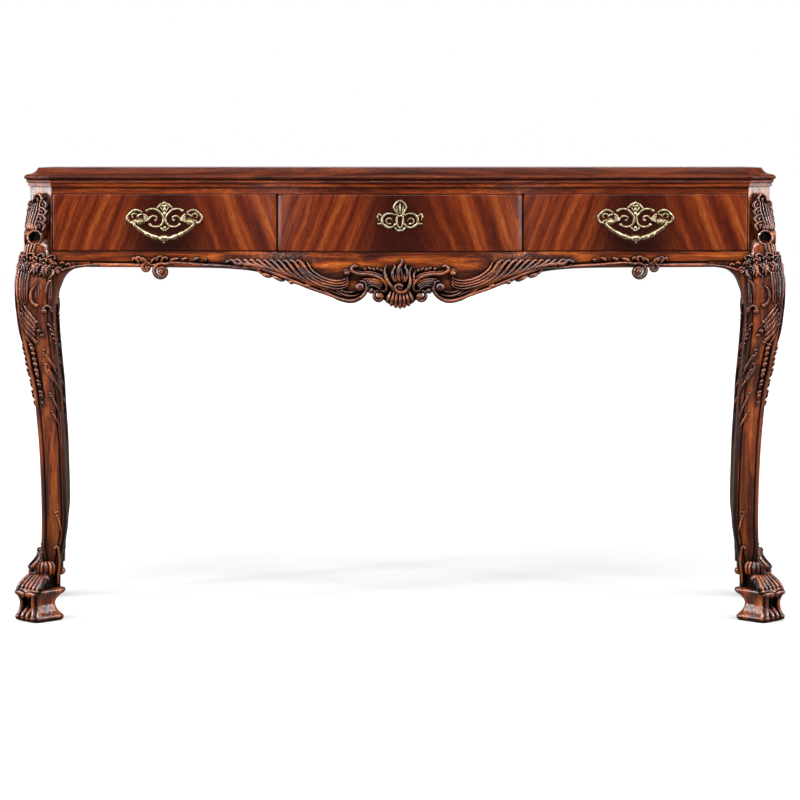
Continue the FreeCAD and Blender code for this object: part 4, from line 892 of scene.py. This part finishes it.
def shell_cartouche(c):
    """Ribbed shell, flame leaves above it and pairs of volutes beside it."""
    for low, high, width in (((0, 634), (0, 668), 8.4), ((8.6, 635.5), (6, 668), 8.4),
                             ((17.5, 639), (11.5, 669), 8.4), ((25.5, 645), (17, 672), 8.2)):
        c.strand([low + (3,), ((low[0] + high[0]) / 2 + 0.6, (low[1] + high[1]) / 2, 7), high + (6,)],
                 width, 6, ends=(0.95, 0.5), peak=0.35, sunk=14, one=low[0] == 0)
    c.strand([(24, 721, 3), (19, 707, 7), (20, 690, 9), (17, 677, 10), (8, 669, 11), (-3, 668, 11),
              (-9, 674, 12), (-7.5, 680.5, 12), (0, 682.5, 13), (6, 678, 14)], 8.5, 6.5, ends=(0.3, 0.9),
             one=True)
    c.strand([(-26, 724, 3), (-30, 709, 6), (-24.5, 690, 8), (-14.5, 676.5, 9), (-8, 668, 9)], 8.5, 6.5,
             ends=(0.3, 0.7), one=True)
    c.strand([(31, 712, 3), (27, 700, 5), (28, 686, 6), (25, 674, 7)], 6.5, 5.5, ends=(0.3, 0.7))
    c.ball(0, 676, 5.4, 12, one=True)
    c.strand([(0, 686, 4), (-3.5, 700, 6), (-2, 716, 5), (4, 728, 3), (1, 735, 2)], 9, 6, ends=(0.8, 0.3),
             one=True)
    c.strand([(3, 690, 3), (4, 704, 5), (1, 716, 5)], 6.5, 6, ends=(0.8, 0.3), one=True)
    c.strand([(9, 686, 5), (14.5, 698, 7), (14, 710, 6), (10, 718, 4), (14, 724, 2)], 8, 6, ends=(0.6, 0.3))
    c.strand([(4, 684, 3), (8.5, 694, 5), (8, 706, 3)], 6, 5, ends=(0.6, 0.3))
    main = [(27.5, 668, 5), (26, 680, 6), (31, 689, 6), (41, 697, 6), (52, 701, 5), (64, 703, 4),
            (79, 703, 4), (91, 707, 4), (95, 713, 4), (90, 719.5, 4), (82, 717, 4)]
    c.strand(main, 9, 6.5, ends=(0.6, 0.9), sunk=6)
    c.strand([(a - 2.6, b + 4.6, h - 1) for a, b, h in main[1:8]], 4.2, 5, ends=(0.4, 0.4))
    c.bundle([(31, 682, 4), (46, 692, 5), (74, 694, 3)], [(37, 673, 5), (50, 680, 5), (64, 681, 4)], 4, 6.4,
             5.6, ends=(0.5, 0.5))
    c.strand([(27.5, 672, 5)] + coil(41, 659, 13, 130, -1.25, 0.26, 4), 7.6, 6.5, ends=(0.8, 0.9), sunk=12)
    c.ball(41, 659, 5.4, 6)
    c.strand([(52, 676, 2), (57, 671, 4), (59, 664, 3)], 11, 7, ends=(0.6, 0.9), sunk=10)
    c.strand([(62, 680, 2), (65, 673, 3), (64, 667, 2)], 8, 6, ends=(0.6, 0.9), sunk=10)
    c.ball(79, 678, 10.5, 5)
    c.strand([(80, 690, 4), (70, 688, 5), (66.5, 678, 5), (69, 666, 5), (79, 656, 5), (95, 650, 4),
              (116, 653, 3), (137, 662, 2), (162, 679, 1)], 9.5, 6.5, ends=(0.5, 0.3), peak=0.55, sunk=10)
    c.strand([(79, 665, 3), (91, 660, 3), (107, 661, 3), (121, 668, 2), (131, 680, 2)], 6, 5, ends=(0.4, 0.6))
    c.strand([(84, 671, 3), (98, 667, 3), (112, 669, 3), (124, 677, 2)], 5.4, 4.6, ends=(0.4, 0.6))
    c.ball(131, 682, 4.8, 3)
    c.ball(104.5, 705, 6, 4)
    c.strand(coil(104.5, 705, 8, 0, 0.85, 0.5, 2), 5, 5)
    for a, b in ((36, 709), (44, 712), (52, 711), (60, 713), (69, 712)):
        c.strand([(a - 4, b - 4, 1), (a, b + 2, 3), (a + 5, b + 4, 1)], 6.4, 4.4, ends=(0.4, 0.7))


def feather_spray(c):
    """Long acanthus spray: a stem along the lower edge, with feathers that leave it and curl up."""
    stem = np.array([(352, 731), (309, 721), (256, 706), (222, 693), (180, 676), (140, 662), (118, 653)],
                    float)
    c.strand([(x, z, 3) for x, z in stem], 8, 5.5, ends=(0.3, 0.7), sunk=8)
    c.strand([(x - 4, z + 7, 2) for x, z in stem[1:]], 6, 5, ends=(0.2, 0.5))
    for k in range(11):
        x = 338 - 13.4 * k
        end = x - 60 - 1.5 * k
        z = np.interp(end, stem[::-1, 0], stem[::-1, 1]) + 7
        c.strand([(x + 3, 725, 1), (x - 2, 730, 2), (x - 12, 722, 3),
                  (x * 0.55 + end * 0.45, 0.45 * 726 + 0.55 * z, 3.5), (end, z, 2)], 9, 6,
                 ends=(0.55, 0.25), peak=0.4)
        c.strand([(x + 6, 722, 1), (x - 6, 714, 2), (x * 0.5 + end * 0.5 + 3, 0.4 * 720 + 0.6 * z, 2)], 4.6,
                 4.4, ends=(0.4, 0.3))
    for k in range(4):
        c.strand([(185 + 8 * k, 729 - k, 1), (174 + 6 * k, 711 - 3 * k, 3), (154 + 3 * k, 697 - 4.5 * k, 4),
                  (130, 690 - 5.2 * k, 4), (112 - k, 691.5 - 5 * k, 4), (101, 698 - 4 * k, 4)], 6.6, 6,
                 ends=(0.5, 0.5), sunk=6)
    for x, z, long in ((266, 700, 10), (216, 687, 5), (182, 679, 8)):
        c.strand([(x - long, z - 3, 2), (x, z, 4), (x + long, z + 3, 2)], 10, 6, ends=(0.7, 0.5), sunk=9)
        stalk = np.interp(x + long + 8, stem[::-1, 0], stem[::-1, 1])
        c.strand([(x + long - 2, z + 2, 2), (x + long + 4, (z + stalk) / 2, 2), (x + long + 8, stalk, 2)],
                 6, 5, ends=(0.9, 0.7), sunk=9)
    c.strand([(256, 700, 2), (244, 694, 3), (232, 688, 2)], 8, 5, ends=(0.4, 0.6), sunk=8)


def edge_scroll(c):
    """Small volute and curl half way along the flank, with paired leaves over them."""
    volute = coil(478.6, 706, 17, 110, -1.3, 0.3, 4)
    c.strand([(352, 718), (380, 720, 1), (420, 722, 2), (455, 723.5, 3), (470, 721, 3)] + volute, 8.5, 6.5,
             ends=(0.3, 0.9), peak=0.7, sunk=11)
    c.ball(478.6, 706, 7, 5)
    c.strand([(300, 713), (345, 716.5, 1), (400, 719, 1), (455, 720, 1)], 9, 6, ends=(0.5, 0.7), sunk=8)
    c.strand([(499, 716, 3), (502, 722, 3)] + coil(508, 714, 10, 100, -0.95, 0.35, 3), 7, 6,
             ends=(0.5, 0.9), sunk=9)
    c.ball(508, 713, 4, 4)
    for a, b in ((513, 728), (521, 731), (529, 729)):
        c.strand([(a - 7, b - 8, 2), (a - 2, b + 1, 3), (a + 5, b + 4, 3), (a + 6, b - 3, 2)], 7, 5.4,
                 ends=(0.4, 0.8))
    for a, b in ((494, 729), (484, 733), (474, 731)):
        c.strand([(a + 6, b - 8, 2), (a + 1, b + 1, 3), (a - 6, b + 3, 3), (a - 8, b - 3, 2)], 7, 5.4,
                 ends=(0.4, 0.8))
    for x, z, long in ((452, 730, 10), (431, 731, 7), (407, 731, 7), (388, 729, 4), (340, 727, 10),
                       (326, 729, 7)):
        c.strand([(x - long, z + 2, 1), (x, z + 1, 3), (x + long, z - 3, 2)], 8, 5, ends=(0.4, 0.7))


cartouche = Carving(apron_face, turn=-1.0, twin=True)
shell_cartouche(cartouche)
pieces = [("apron_cartouche", cartouche.piece("shell_cartouche", apron_wood))]
for name, carve in (("apron_spray", feather_spray), ("apron_scroll", edge_scroll)):
    carving = Carving(apron_face, turn=-1.0)
    carve(carving)
    piece = carving.piece(carve.__name__ + "_right", apron_wood)
    pieces += [(name + "_right", piece), (name + "_left", mirrored(piece, carve.__name__ + "_left"))]
for node, piece in pieces:
    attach(piece, "carcass")
    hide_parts(node)


# Drawers: curved fronts veneered with crotch mahogany, on boxes of pale secondary wood that run
# on bearers. Each front has a softened arris, and its flame stands on the lower edge at its middle.
FRONT_FACE = 1.5
FRONT_BACK = -18.5
FRONT_LOW = 747.8
FRONT_HIGH = 860.8
FRONT_SOFT = 2.2
DRAWER_END = 696
DRAWER_SPLIT = 247
CENTRE_HALF = 243
FLAME_STOPS = ((0.3, "#45140a"), (0.44, "#61220d"), (0.55, "#783013"), (0.67, "#95471d"), (0.82, "#ae5c2b"))


def flame_veneer(name, middle):
    """Crotch veneer: a dark plume at the middle, with orange-brown stripes that fan away either side,
    and painted shade in the gaps round it. Its fibres are drawn coarser than they are, so that they show."""
    stripe_mm = 19.0
    fibre_mm = 1.1
    wander_mm = 90.0
    drift_mm = 17.0
    plume_mm = (24.0, 128.0)
    material, tree = new_material(name)
    spot = add(tree, "ShaderNodeTexCoord", out="Object")
    wander = add(tree, "ShaderNodeTexNoise", {"Vector": spot, "Scale": 1 / (wander_mm * MM), "Detail": 2.0},
                 out="Color")
    drift = add(tree, "ShaderNodeVectorMath", {0: wander, 1: (0.5, 0.5, 0.5)}, operation="SUBTRACT")
    drift = add(tree, "ShaderNodeVectorMath", {0: drift, "Scale": drift_mm * MM}, operation="SCALE")
    place = add(tree, "ShaderNodeVectorMath", {0: spot, 1: drift}, operation="ADD")
    foot = (middle * MM, 0, FRONT_LOW * MM)
    place = add(tree, "ShaderNodeVectorMath", {0: place, 1: foot}, operation="SUBTRACT")
    x = add(tree, "ShaderNodeSeparateXYZ", {"Vector": place})
    z = x.node.outputs["Z"]
    across = add(tree, "ShaderNodeMath", {0: x}, operation="ABSOLUTE")
    arch = add(tree, "ShaderNodeMath", {0: z, 1: 0.36, 2: across}, operation="MULTIPLY_ADD")
    column = add(tree, "ShaderNodeMath", {0: z, 1: 0.14, 2: across}, operation="MULTIPLY_ADD")
    lay = add(tree, "ShaderNodeCombineXYZ", {"X": arch, "Y": z, "Z": x})
    ribbon = add(tree, "ShaderNodeMapping", {"Vector": lay, "Scale": (1 / (stripe_mm * MM), 3.0, 1.5)})
    stripe = add(tree, "ShaderNodeTexNoise",
                 {"Vector": ribbon, "Scale": 1.0, "Detail": 3.0, "Roughness": 0.6})
    hair = add(tree, "ShaderNodeMapping", {"Vector": lay, "Scale": (1 / (fibre_mm * MM), 80.0, 12.0)})
    fibre = add(tree, "ShaderNodeTexNoise", {"Vector": hair, "Scale": 1.0, "Detail": 2.0})
    colour = add(tree, "ShaderNodeValToRGB", {"Fac": stripe}, FLAME_STOPS)
    shade = add(tree, "ShaderNodeMapRange", {"Value": fibre, "From Min": 0.34, "From Max": 0.62,
                                             "To Min": 0.55, "To Max": 1.12})
    colour = add(tree, "ShaderNodeMix", {"Factor": 1.0, "A": colour, "B": shade}, out=2, data_type="RGBA",
                 blend_type="MULTIPLY")
    dark = add(tree, "ShaderNodeMix", {"Factor": 1.0, "A": paint("#371009"), "B": shade}, out=2,
               data_type="RGBA", blend_type="MULTIPLY")
    plume = add(tree, "ShaderNodeMapRange", {"Value": column, "From Min": plume_mm[0] * MM,
                                             "From Max": plume_mm[1] * MM}, interpolation_type="SMOOTHSTEP")
    colour = add(tree, "ShaderNodeMix", {"Factor": plume, "A": dark, "B": colour}, out=2, data_type="RGBA")
    # The gaps round the front are painted dark with the glaze colour, as shade.
    clean_and_lit = clear_of_glaze_and_shade(tree, 8.0, 0.2, 0.6)
    colour = add(tree, "ShaderNodeMix", {"Factor": clean_and_lit, "A": paint(GLAZE_AND_SHADE), "B": colour}, out=2,
                 data_type="RGBA")
    polished(tree, colour, 0.3, shade, 0.06, 0.5)
    return material


def drawer_front(name, x0, x1, wood):
    """Board bent to the serpentine line, its section rounded at the arrises."""
    section = []
    for out, z, start in ((FRONT_FACE, FRONT_HIGH, 0), (FRONT_BACK, FRONT_HIGH, 90),
                          (FRONT_BACK, FRONT_LOW, 180), (FRONT_FACE, FRONT_LOW, 270)):
        co = out + FRONT_SOFT * (-1 if out == FRONT_FACE else 1)
        cz = z + FRONT_SOFT * (-1 if z == FRONT_HIGH else 1)
        for turn in np.radians(np.linspace(start, start + 90, 6)):
            section.append((co + FRONT_SOFT * math.cos(turn), cz + FRONT_SOFT * math.sin(turn)))
    c = Carving(apron_face)
    rings = []
    middle = np.mean(section, axis=0)
    ends = [(0, 0.93), (0.7, 0.975), (FRONT_SOFT, 1)]
    stations = [(x0 + run, inset) for run, inset in ends]
    stations += [(x, 1) for x in np.arange(x0 + 8, x1 - 7, 6)]
    stations += [(x1 - run, inset) for run, inset in ends[::-1]]
    for x, inset in stations:
        ring = []
        for out, z in section:
            out = middle[0] + (out - middle[0]) * inset
            z = z + (FRONT_SOFT * (1 - inset) / 0.07) * (-1 if z > middle[1] else 1) * 0.8
            ring.append((x, front_line(x, out), z))
        rings.append(ring)
    c.loft(np.array(rings), np.ones((len(rings), len(section))))
    return c.piece(name, wood, 40)


for side, x0, x1 in (("left", -DRAWER_END, -DRAWER_SPLIT), ("centre", -CENTRE_HALF, CENTRE_HALF),
                     ("right", DRAWER_SPLIT, DRAWER_END)):
    veneer = flame_veneer("crotch_mahogany_%s" % side, (x0 + x1) / 2)
    piece = drawer_front("%s_drawer_veneered_front" % side, x0, x1, veneer)
    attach(piece, "%s_drawer" % side)
    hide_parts("%s_drawer_front" % side)
    boards = ("left_side", "right_side", "back", "bottom")
    dress(inner_wood, *["%s_drawer_%s" % (side, board) for board in boards])


# Pulls and escutcheon: cast brass, pierced and chased, left to tone with age. Plates are pinned to
# the drawer fronts, and each swan-neck bail swings in two ball-headed posts nutted behind.
PULL_X = 471.5
PULL_Z = 805.8
POST_REACH = 50.0
BAIL_Y = -165.26
PLATE_SEAT = 0.4
BRASS_STOPS = ((0.3, "#7f6c4a"), (0.48, "#ad9b78"), (0.62, "#cfc2a6"), (0.8, "#ebe4d4"))


def aged_brass(name, chased=True):
    """Cast brass worn bright on its high places, with dark in the recesses and down the flanks of its strands
    that is partly brown tarnish and partly painted shade.
    """
    tarnish_mm = 7.0
    material, tree = new_material(name)
    spot = add(tree, "ShaderNodeTexCoord", out="Object")
    blotch = add(tree, "ShaderNodeTexNoise", {"Vector": spot, "Scale": 1 / (tarnish_mm * MM), "Detail": 4.0})
    colour = add(tree, "ShaderNodeValToRGB", {"Fac": blotch}, BRASS_STOPS)
    # Hollows found by occlusion, and the strands' flanks below, take the dark: partly tarnish, partly painted
    # shade.
    clean_and_lit = clear_of_glaze_and_shade(tree, 5.0, 0.3, 0.75)
    if chased:
        crest = add(tree, "ShaderNodeAttribute", out="Fac", attribute_name="crest")
        ridge = add(tree, "ShaderNodeMapRange", {"Value": crest, "From Min": 0.0, "From Max": 0.6})
        clean_and_lit = add(tree, "ShaderNodeMath", {0: clean_and_lit, 1: ridge}, operation="MULTIPLY")
    colour = add(tree, "ShaderNodeMix", {"Factor": clean_and_lit, "A": paint("#2a1d0d"), "B": colour}, out=2,
                 data_type="RGBA")
    rough = add(tree, "ShaderNodeMapRange", {"Value": clean_and_lit, "To Min": 0.55, "To Max": 0.3})
    bump = add(tree, "ShaderNodeBump", {"Height": blotch, "Strength": 0.4, "Distance": 0.3 * MM})
    shader = add(tree, "ShaderNodeBsdfPrincipled", {"Base Color": colour, "Roughness": rough, "Normal": bump,
                                                    "Metallic": 1.0})
    add(tree, "ShaderNodeOutputMaterial", {"Surface": shader})
    return material


brass = aged_brass("aged_cast_brass")
turned_brass = aged_brass("aged_turned_brass", chased=False)


def brass_face(x, z):
    """Ground of the brass plates, a little in front of the drawer fronts."""
    return x, front_line(x, FRONT_FACE + PLATE_SEAT), z


def pull_face(a, b):
    """The same ground, measured from the middle of the right pull."""
    return brass_face(PULL_X + a, PULL_Z + b)


def pierced_plate(c):
    """Two C rings with fanned leaves, a palmette crest, a pendant and scrolled ends."""
    how = {"sunk": 0.6, "step": 1.2}
    c.strand([(35.7, 22.4), (31.6, 24.5), (23.5, 25.5), (15.3, 23.5), (8.2, 17.3), (3.2, 10.2), (2.4, 3),
              (4.4, -4), (10.2, -9), (17.3, -10.4), (24, -9.8), (29.6, -6)], 6.1, 3.7, ends=(0.7, 0.8),
             **how)
    c.strand([(33, 0), (30, 7), (24.5, 11.2), (17.3, 10.2), (15.3, 6), (18.4, 2.4)], 4.9, 3.1, **how)
    for z in (-2, 4, 10, 16):
        c.strand([(30, 4), (37, z / 2 + 3, 0.4), (43, z)], 5.6, 3.1, ends=(0.4, 0.9), peak=0.8, **how)
    c.strand([(15.3, 25.5), (11.2, 30.6), (5, 35.7), (0, 36.7)], 5.6, 3.3, ends=(0.6, 0.9), **how)
    c.strand([(2, 19), (6, 25), (8, 31)], 4.1, 2.9, **how)
    c.strand([(0, 14), (0, 25), (0, 35)], 5.1, 3.3, one=True, **how)
    c.strand([(43.9, 17.3), (50, 21.4), (57, 23.5), (64.3, 21.4), (69.4, 16.3), (74.5, 10.2), (74.5, 4),
              (70.4, -1), (65.3, -3)], 6.1, 3.5, ends=(0.6, 0.9), **how)
    c.strand([(52, 8), (56, 14), (62, 16), (66, 11), (62, 7)], 4.9, 3.1, **how)
    c.strand([(44, 15), (50, 14), (56, 8)], 4.9, 2.9, **how)
    c.strand([(40, 2), (48, 4, 0.4), (57, 2), (67, 0)], 7.3, 2.9, **how)
    c.strand([(9, -11), (5, -15.3), (0, -19.4)], 5.6, 3.3, ends=(0.6, 0.9), **how)
    for a, b, r in ((35, 22, 3.2), (29.6, -6, 3.2), (18.4, 3, 2.8), (3.4, 31.6, 2.8), (8.5, 34, 2.6),
                    (13.5, 28.5, 2.6), (65.3, -2.6, 3), (57, 23, 2.6), (POST_REACH, 0, 7.5)):
        c.ball(a, b, 1.12 * r, 0.4, **how)
    for b, r in ((38, 3.2), (24.5, 3.8), (16, 4), (-12, 3.8)):
        c.ball(0, b, r, 0.6, one=True, **how)


plate = Carving(pull_face, turn=-1.0, twin=True)
pierced_plate(plate)
plate = plate.piece("right_pierced_plate", brass)
for side, piece in (("right", plate), ("left", mirrored(plate, "left_pierced_plate"))):
    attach(piece, "%s_drawer" % side)
    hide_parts("%s_pull_plate" % side)


def turned_rod(name, runs, metal):
    """Round rods through (x, y, z, radius) points, each one closed tube."""
    c = Carving(pull_face)
    turn = circle(16)
    for points in runs:
        rows = flow([(p[0], p[2], p[1], p[3]) for p in points], 1.2)
        p = rows[:, (0, 2, 1)]
        t = unit(np.gradient(p, axis=0))
        s = unit(np.cross(t, (0.0, 1.0, 0.0)))
        n = np.cross(s, t)
        ring = np.cos(turn)[None, :, None] * s[:, None] + np.sin(turn)[None, :, None] * n[:, None]
        c.loft(p[:, None] + rows[:, 3][:, None, None] * ring, np.ones((len(rows), len(turn))))
    return c.piece(name, metal)


# Place across and up and radius along half of the bail, and down the knob at its middle
HALF_ROD = [(50, 1.5, 2.8), (55, -0.5, 3), (58.5, -3, 3.3), (58.5, -7, 3.6), (54, -11.5, 3.8),
            (46, -17.3, 4), (39, -21.4, 4), (34, -24.3, 5.4), (28, -27.2, 4.4), (22, -29.6, 5.6),
            (15, -31.5, 4.6), (10, -32.4, 3.6), (6.5, -32.8, 6), (2, -33, 6.2)]
KNOB = [(0, -31, 3), (0, -36, 5), (0, -39.5, 2.6), (0, -41.5, 3.4), (0, -43.5, 1.2)]
rod = [(PULL_X - x, BAIL_Y, PULL_Z + z, r) for x, z, r in HALF_ROD]
rod += [(PULL_X + x, BAIL_Y, PULL_Z + z, r) for x, z, r in HALF_ROD[::-1]]
knob = [(PULL_X + x, BAIL_Y, PULL_Z + z, r) for x, z, r in KNOB]
right_bail = turned_rod("right_swan_neck_bail", (rod, knob), brass)
for side, piece in (("right", right_bail), ("left", mirrored(right_bail, "left_swan_neck_bail"))):
    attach(piece, "%s_bail" % side)
    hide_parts("%s_bail" % side)
    dress(turned_brass, "%s_pull_posts" % side, "%s_pull_nuts" % side)


def pierced_escutcheon(c):
    """Keyhole plate: two rings, a palmette crest, leaves at the ends and a pendant."""
    how = {"sunk": 0.6, "step": 1.2}
    c.strand([(9, 820), (17, 823), (28, 822), (35, 814), (34, 803), (25, 796), (14, 797), (8, 804)], 5.6,
             3.3, ends=(0.6, 0.8), **how)
    c.strand([(14, 808), (20, 814), (27, 811), (26, 804), (20, 803)], 3.9, 2.6, **how)
    c.ball(20, 803, 2.6, **how)
    c.strand([(3, 820), (9, 828), (12, 836), (7, 845), (0, 849)], 5.1, 3.1, ends=(0.7, 0.9), **how)
    c.strand([(0, 822), (0, 834), (0, 845)], 5.6, 3.3, one=True, **how)
    c.strand([(3, 822), (6, 832), (6, 840)], 3.7, 2.6, **how)
    c.strand([(36, 815), (41, 822), (44, 816), (41, 808)], 4.9, 2.9, **how)
    c.strand([(23, 797), (34, 802), (45, 803.5)], 5.4, 2.9, ends=(0.6, 0.4), **how)
    c.strand([(10, 797), (7, 791), (0, 788.5)], 4.9, 2.9, ends=(0.7, 0.9), **how)
    c.strand([(0, 820), (5.5, 816), (6, 806), (4.5, 798), (0, 795)], 4.9, 2.6, ends=(0.9, 0.9), **how)
    for a, b, r in ((0, 849, 2.8), (11, 838, 2.4), (42, 822, 2.6), (0, 790, 2.8), (8, 821, 2.6)):
        c.ball(a, b, r, 0.4, **how)


plate = Carving(brass_face, turn=-1.0, twin=True)
pierced_escutcheon(plate)
piece = plate.piece("pierced_escutcheon", brass)
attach(piece, "centre_drawer")
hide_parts("escutcheon")
dress(turned_brass, "escutcheon_pins")


# Lock: a steel case let into the back of the middle drawer front, held by screws, with a bolt
# that rises behind the rail. The top is held by screws of the same steel.
def bright_steel(name):
    """Drawn steel with scratches along it, coarser than real ones so that they show, and a little
    browning from oil."""
    scratch_mm = 0.6
    material, tree = new_material(name)
    spot = add(tree, "ShaderNodeTexCoord", out="Object")
    lay = add(tree, "ShaderNodeMapping", {"Vector": spot, "Scale": (0.05, 1, 1)})
    fine = add(tree, "ShaderNodeTexNoise", {"Vector": lay, "Scale": 1 / (scratch_mm * MM), "Detail": 3.0})
    colour = add(tree, "ShaderNodeValToRGB", {"Fac": fine},
                 ((0.3, "#4b4843"), (0.6, "#7d7870"), (0.8, "#9d978d")))
    rough = add(tree, "ShaderNodeMapRange", {"Value": fine, "To Min": 0.28, "To Max": 0.5})
    shader = add(tree, "ShaderNodeBsdfPrincipled",
                 {"Base Color": colour, "Roughness": rough, "Metallic": 1.0})
    add(tree, "ShaderNodeOutputMaterial", {"Surface": shader})
    return material


steel = bright_steel("drawn_steel")
dress(steel, "lock_case", "lock_bolt", "lock_screws", "top_screws")


# Top: one veneered board on a glued moulding that follows the serpentine front, its edge run to a
# hollow above a rounded nose. It is screwed up from the rails, and its polish is rubbed down to a satin.
TOP_STOPS = ((0.25, "#230a05"), (0.45, "#461809"), (0.6, "#64280f"), (0.78, "#7d3a15"))
top_wood = mahogany("polished_mahogany_top", "X", TOP_STOPS, coat=0.12, dull=0.25)
dress(top_wood, "table_top")
dress(rail_wood, "top_moulding")


# Studio: a plain pale floor that shines a little by itself, soft daylight from above and from both
# front quarters, and softboxes over, beside and behind the table for the polish to mirror. The camera
# stands 5.6 m in front of the table, a little above its top.
EYE_HEIGHT = 948.0
EYE_DISTANCE = 5600.0
FRAME_WIDTH_AT_FRONT = 1603.0
TILT = math.radians(2.24)
SHIFT = -0.175

world = bpy.data.worlds.new("studio")
bpy.context.scene.world = world
world.use_nodes = True
tree = world.node_tree
tree.nodes.clear()
seen = add(tree, "ShaderNodeLightPath", out="Is Camera Ray")
room = add(tree, "ShaderNodeBackground", {"Color": paint("#ffffff"), "Strength": 0.06})
paper = add(tree, "ShaderNodeBackground", {"Color": paint("#ffffff"), "Strength": 1.0})
both = add(tree, "ShaderNodeMixShader", {0: seen, 1: room, 2: paper})
add(tree, "ShaderNodeOutputWorld", {"Surface": both})

bpy.ops.object.select_all(action="DESELECT")
bpy.ops.mesh.primitive_circle_add(vertices=96, radius=14.0, fill_type="NGON", location=(0, 0, 0))
floor = bpy.context.object
floor.name = "floor"
material, tree = new_material("pale_floor")
seen = add(tree, "ShaderNodeLightPath", out="Is Camera Ray")
bounce = add(tree, "ShaderNodeBsdfDiffuse", {"Color": paint("#6a6866")})
paper = add(tree, "ShaderNodeBsdfDiffuse", {"Color": paint("#bcbcbb")})
spot = add(tree, "ShaderNodeTexCoord", out="Object")
far = add(tree, "ShaderNodeVectorMath", {0: spot}, out="Value", operation="LENGTH")
fade = add(tree, "ShaderNodeMapRange", {"Value": far, "From Min": 1.0, "From Max": 4.5,
                                        "To Min": 0.33, "To Max": 0.95})
lift = add(tree, "ShaderNodeEmission", {"Color": paint("#ffffff"), "Strength": fade})
paper = add(tree, "ShaderNodeAddShader", {0: paper, 1: lift})
both = add(tree, "ShaderNodeMixShader", {0: seen, 1: bounce, 2: paper})
add(tree, "ShaderNodeOutputMaterial", {"Surface": both})
floor.data.materials.append(material)


def lamp(name, kind, power, way):
    """One light that shines along a direction."""
    light = bpy.data.lights.new(name, kind)
    light.energy = power
    obj = bpy.data.objects.new(name, light)
    bpy.context.scene.collection.objects.link(obj)
    obj.rotation_euler = Vector(way).to_track_quat("-Z", "Y").to_euler()
    return obj


# Name, direction, strength and spread in degrees
for name, way, strength, spread in (("overhead", (0.0, 0.25, -1.0), 1.7, 60),
                                    ("left_front", (0.85, 0.5, -0.6), 0.9, 6),
                                    ("right_front", (-0.85, 0.5, -0.6), 0.65, 6)):
    lamp(name, "SUN", strength, way).data.angle = math.radians(spread)

# Name, place, aim and size in metres, and power in watts
for name, place, aim, size, power in (("top_box", (0, -1.6, 2.4), (0, -0.1, 0.75), (4.2, 0.5), 52),
                                      ("left_box", (-2.4, -2.4, 1.3), (-0.3, 0, 0.55), (0.9, 2.0), 40),
                                      ("right_box", (2.4, -2.4, 1.3), (0.3, 0, 0.55), (0.9, 2.0), 32),
                                      ("left_side", (-3.0, -0.15, 1.2), (-0.5, 0, 0.6), (1.2, 2.0), 60),
                                      ("right_side", (3.0, -0.15, 1.2), (0.5, 0, 0.6), (1.2, 2.0), 50),
                                      ("rear_fill", (0, 3.4, 1.9), (0, 0, 0.5), (3.0, 1.2), 40)):
    box = lamp(name, "AREA", power, Vector(aim) - Vector(place))
    box.location = place
    box.visible_camera = False
    box.data.shape = "RECTANGLE"
    box.data.size, box.data.size_y = size

lens = bpy.data.cameras.new("camera")
lens.sensor_width = 36.0
lens.angle = 2 * math.atan(FRAME_WIDTH_AT_FRONT / 2 / EYE_DISTANCE)
lens.shift_y = SHIFT
camera = bpy.data.objects.new("camera", lens)
bpy.context.scene.collection.objects.link(camera)
camera.location = (0, (FRONT_Y - EYE_DISTANCE) * MM, EYE_HEIGHT * MM)
camera.rotation_euler = (math.pi / 2 - TILT, 0, 0)
bpy.context.scene.camera = camera
bpy.context.scene.view_settings.view_transform = "Standard"
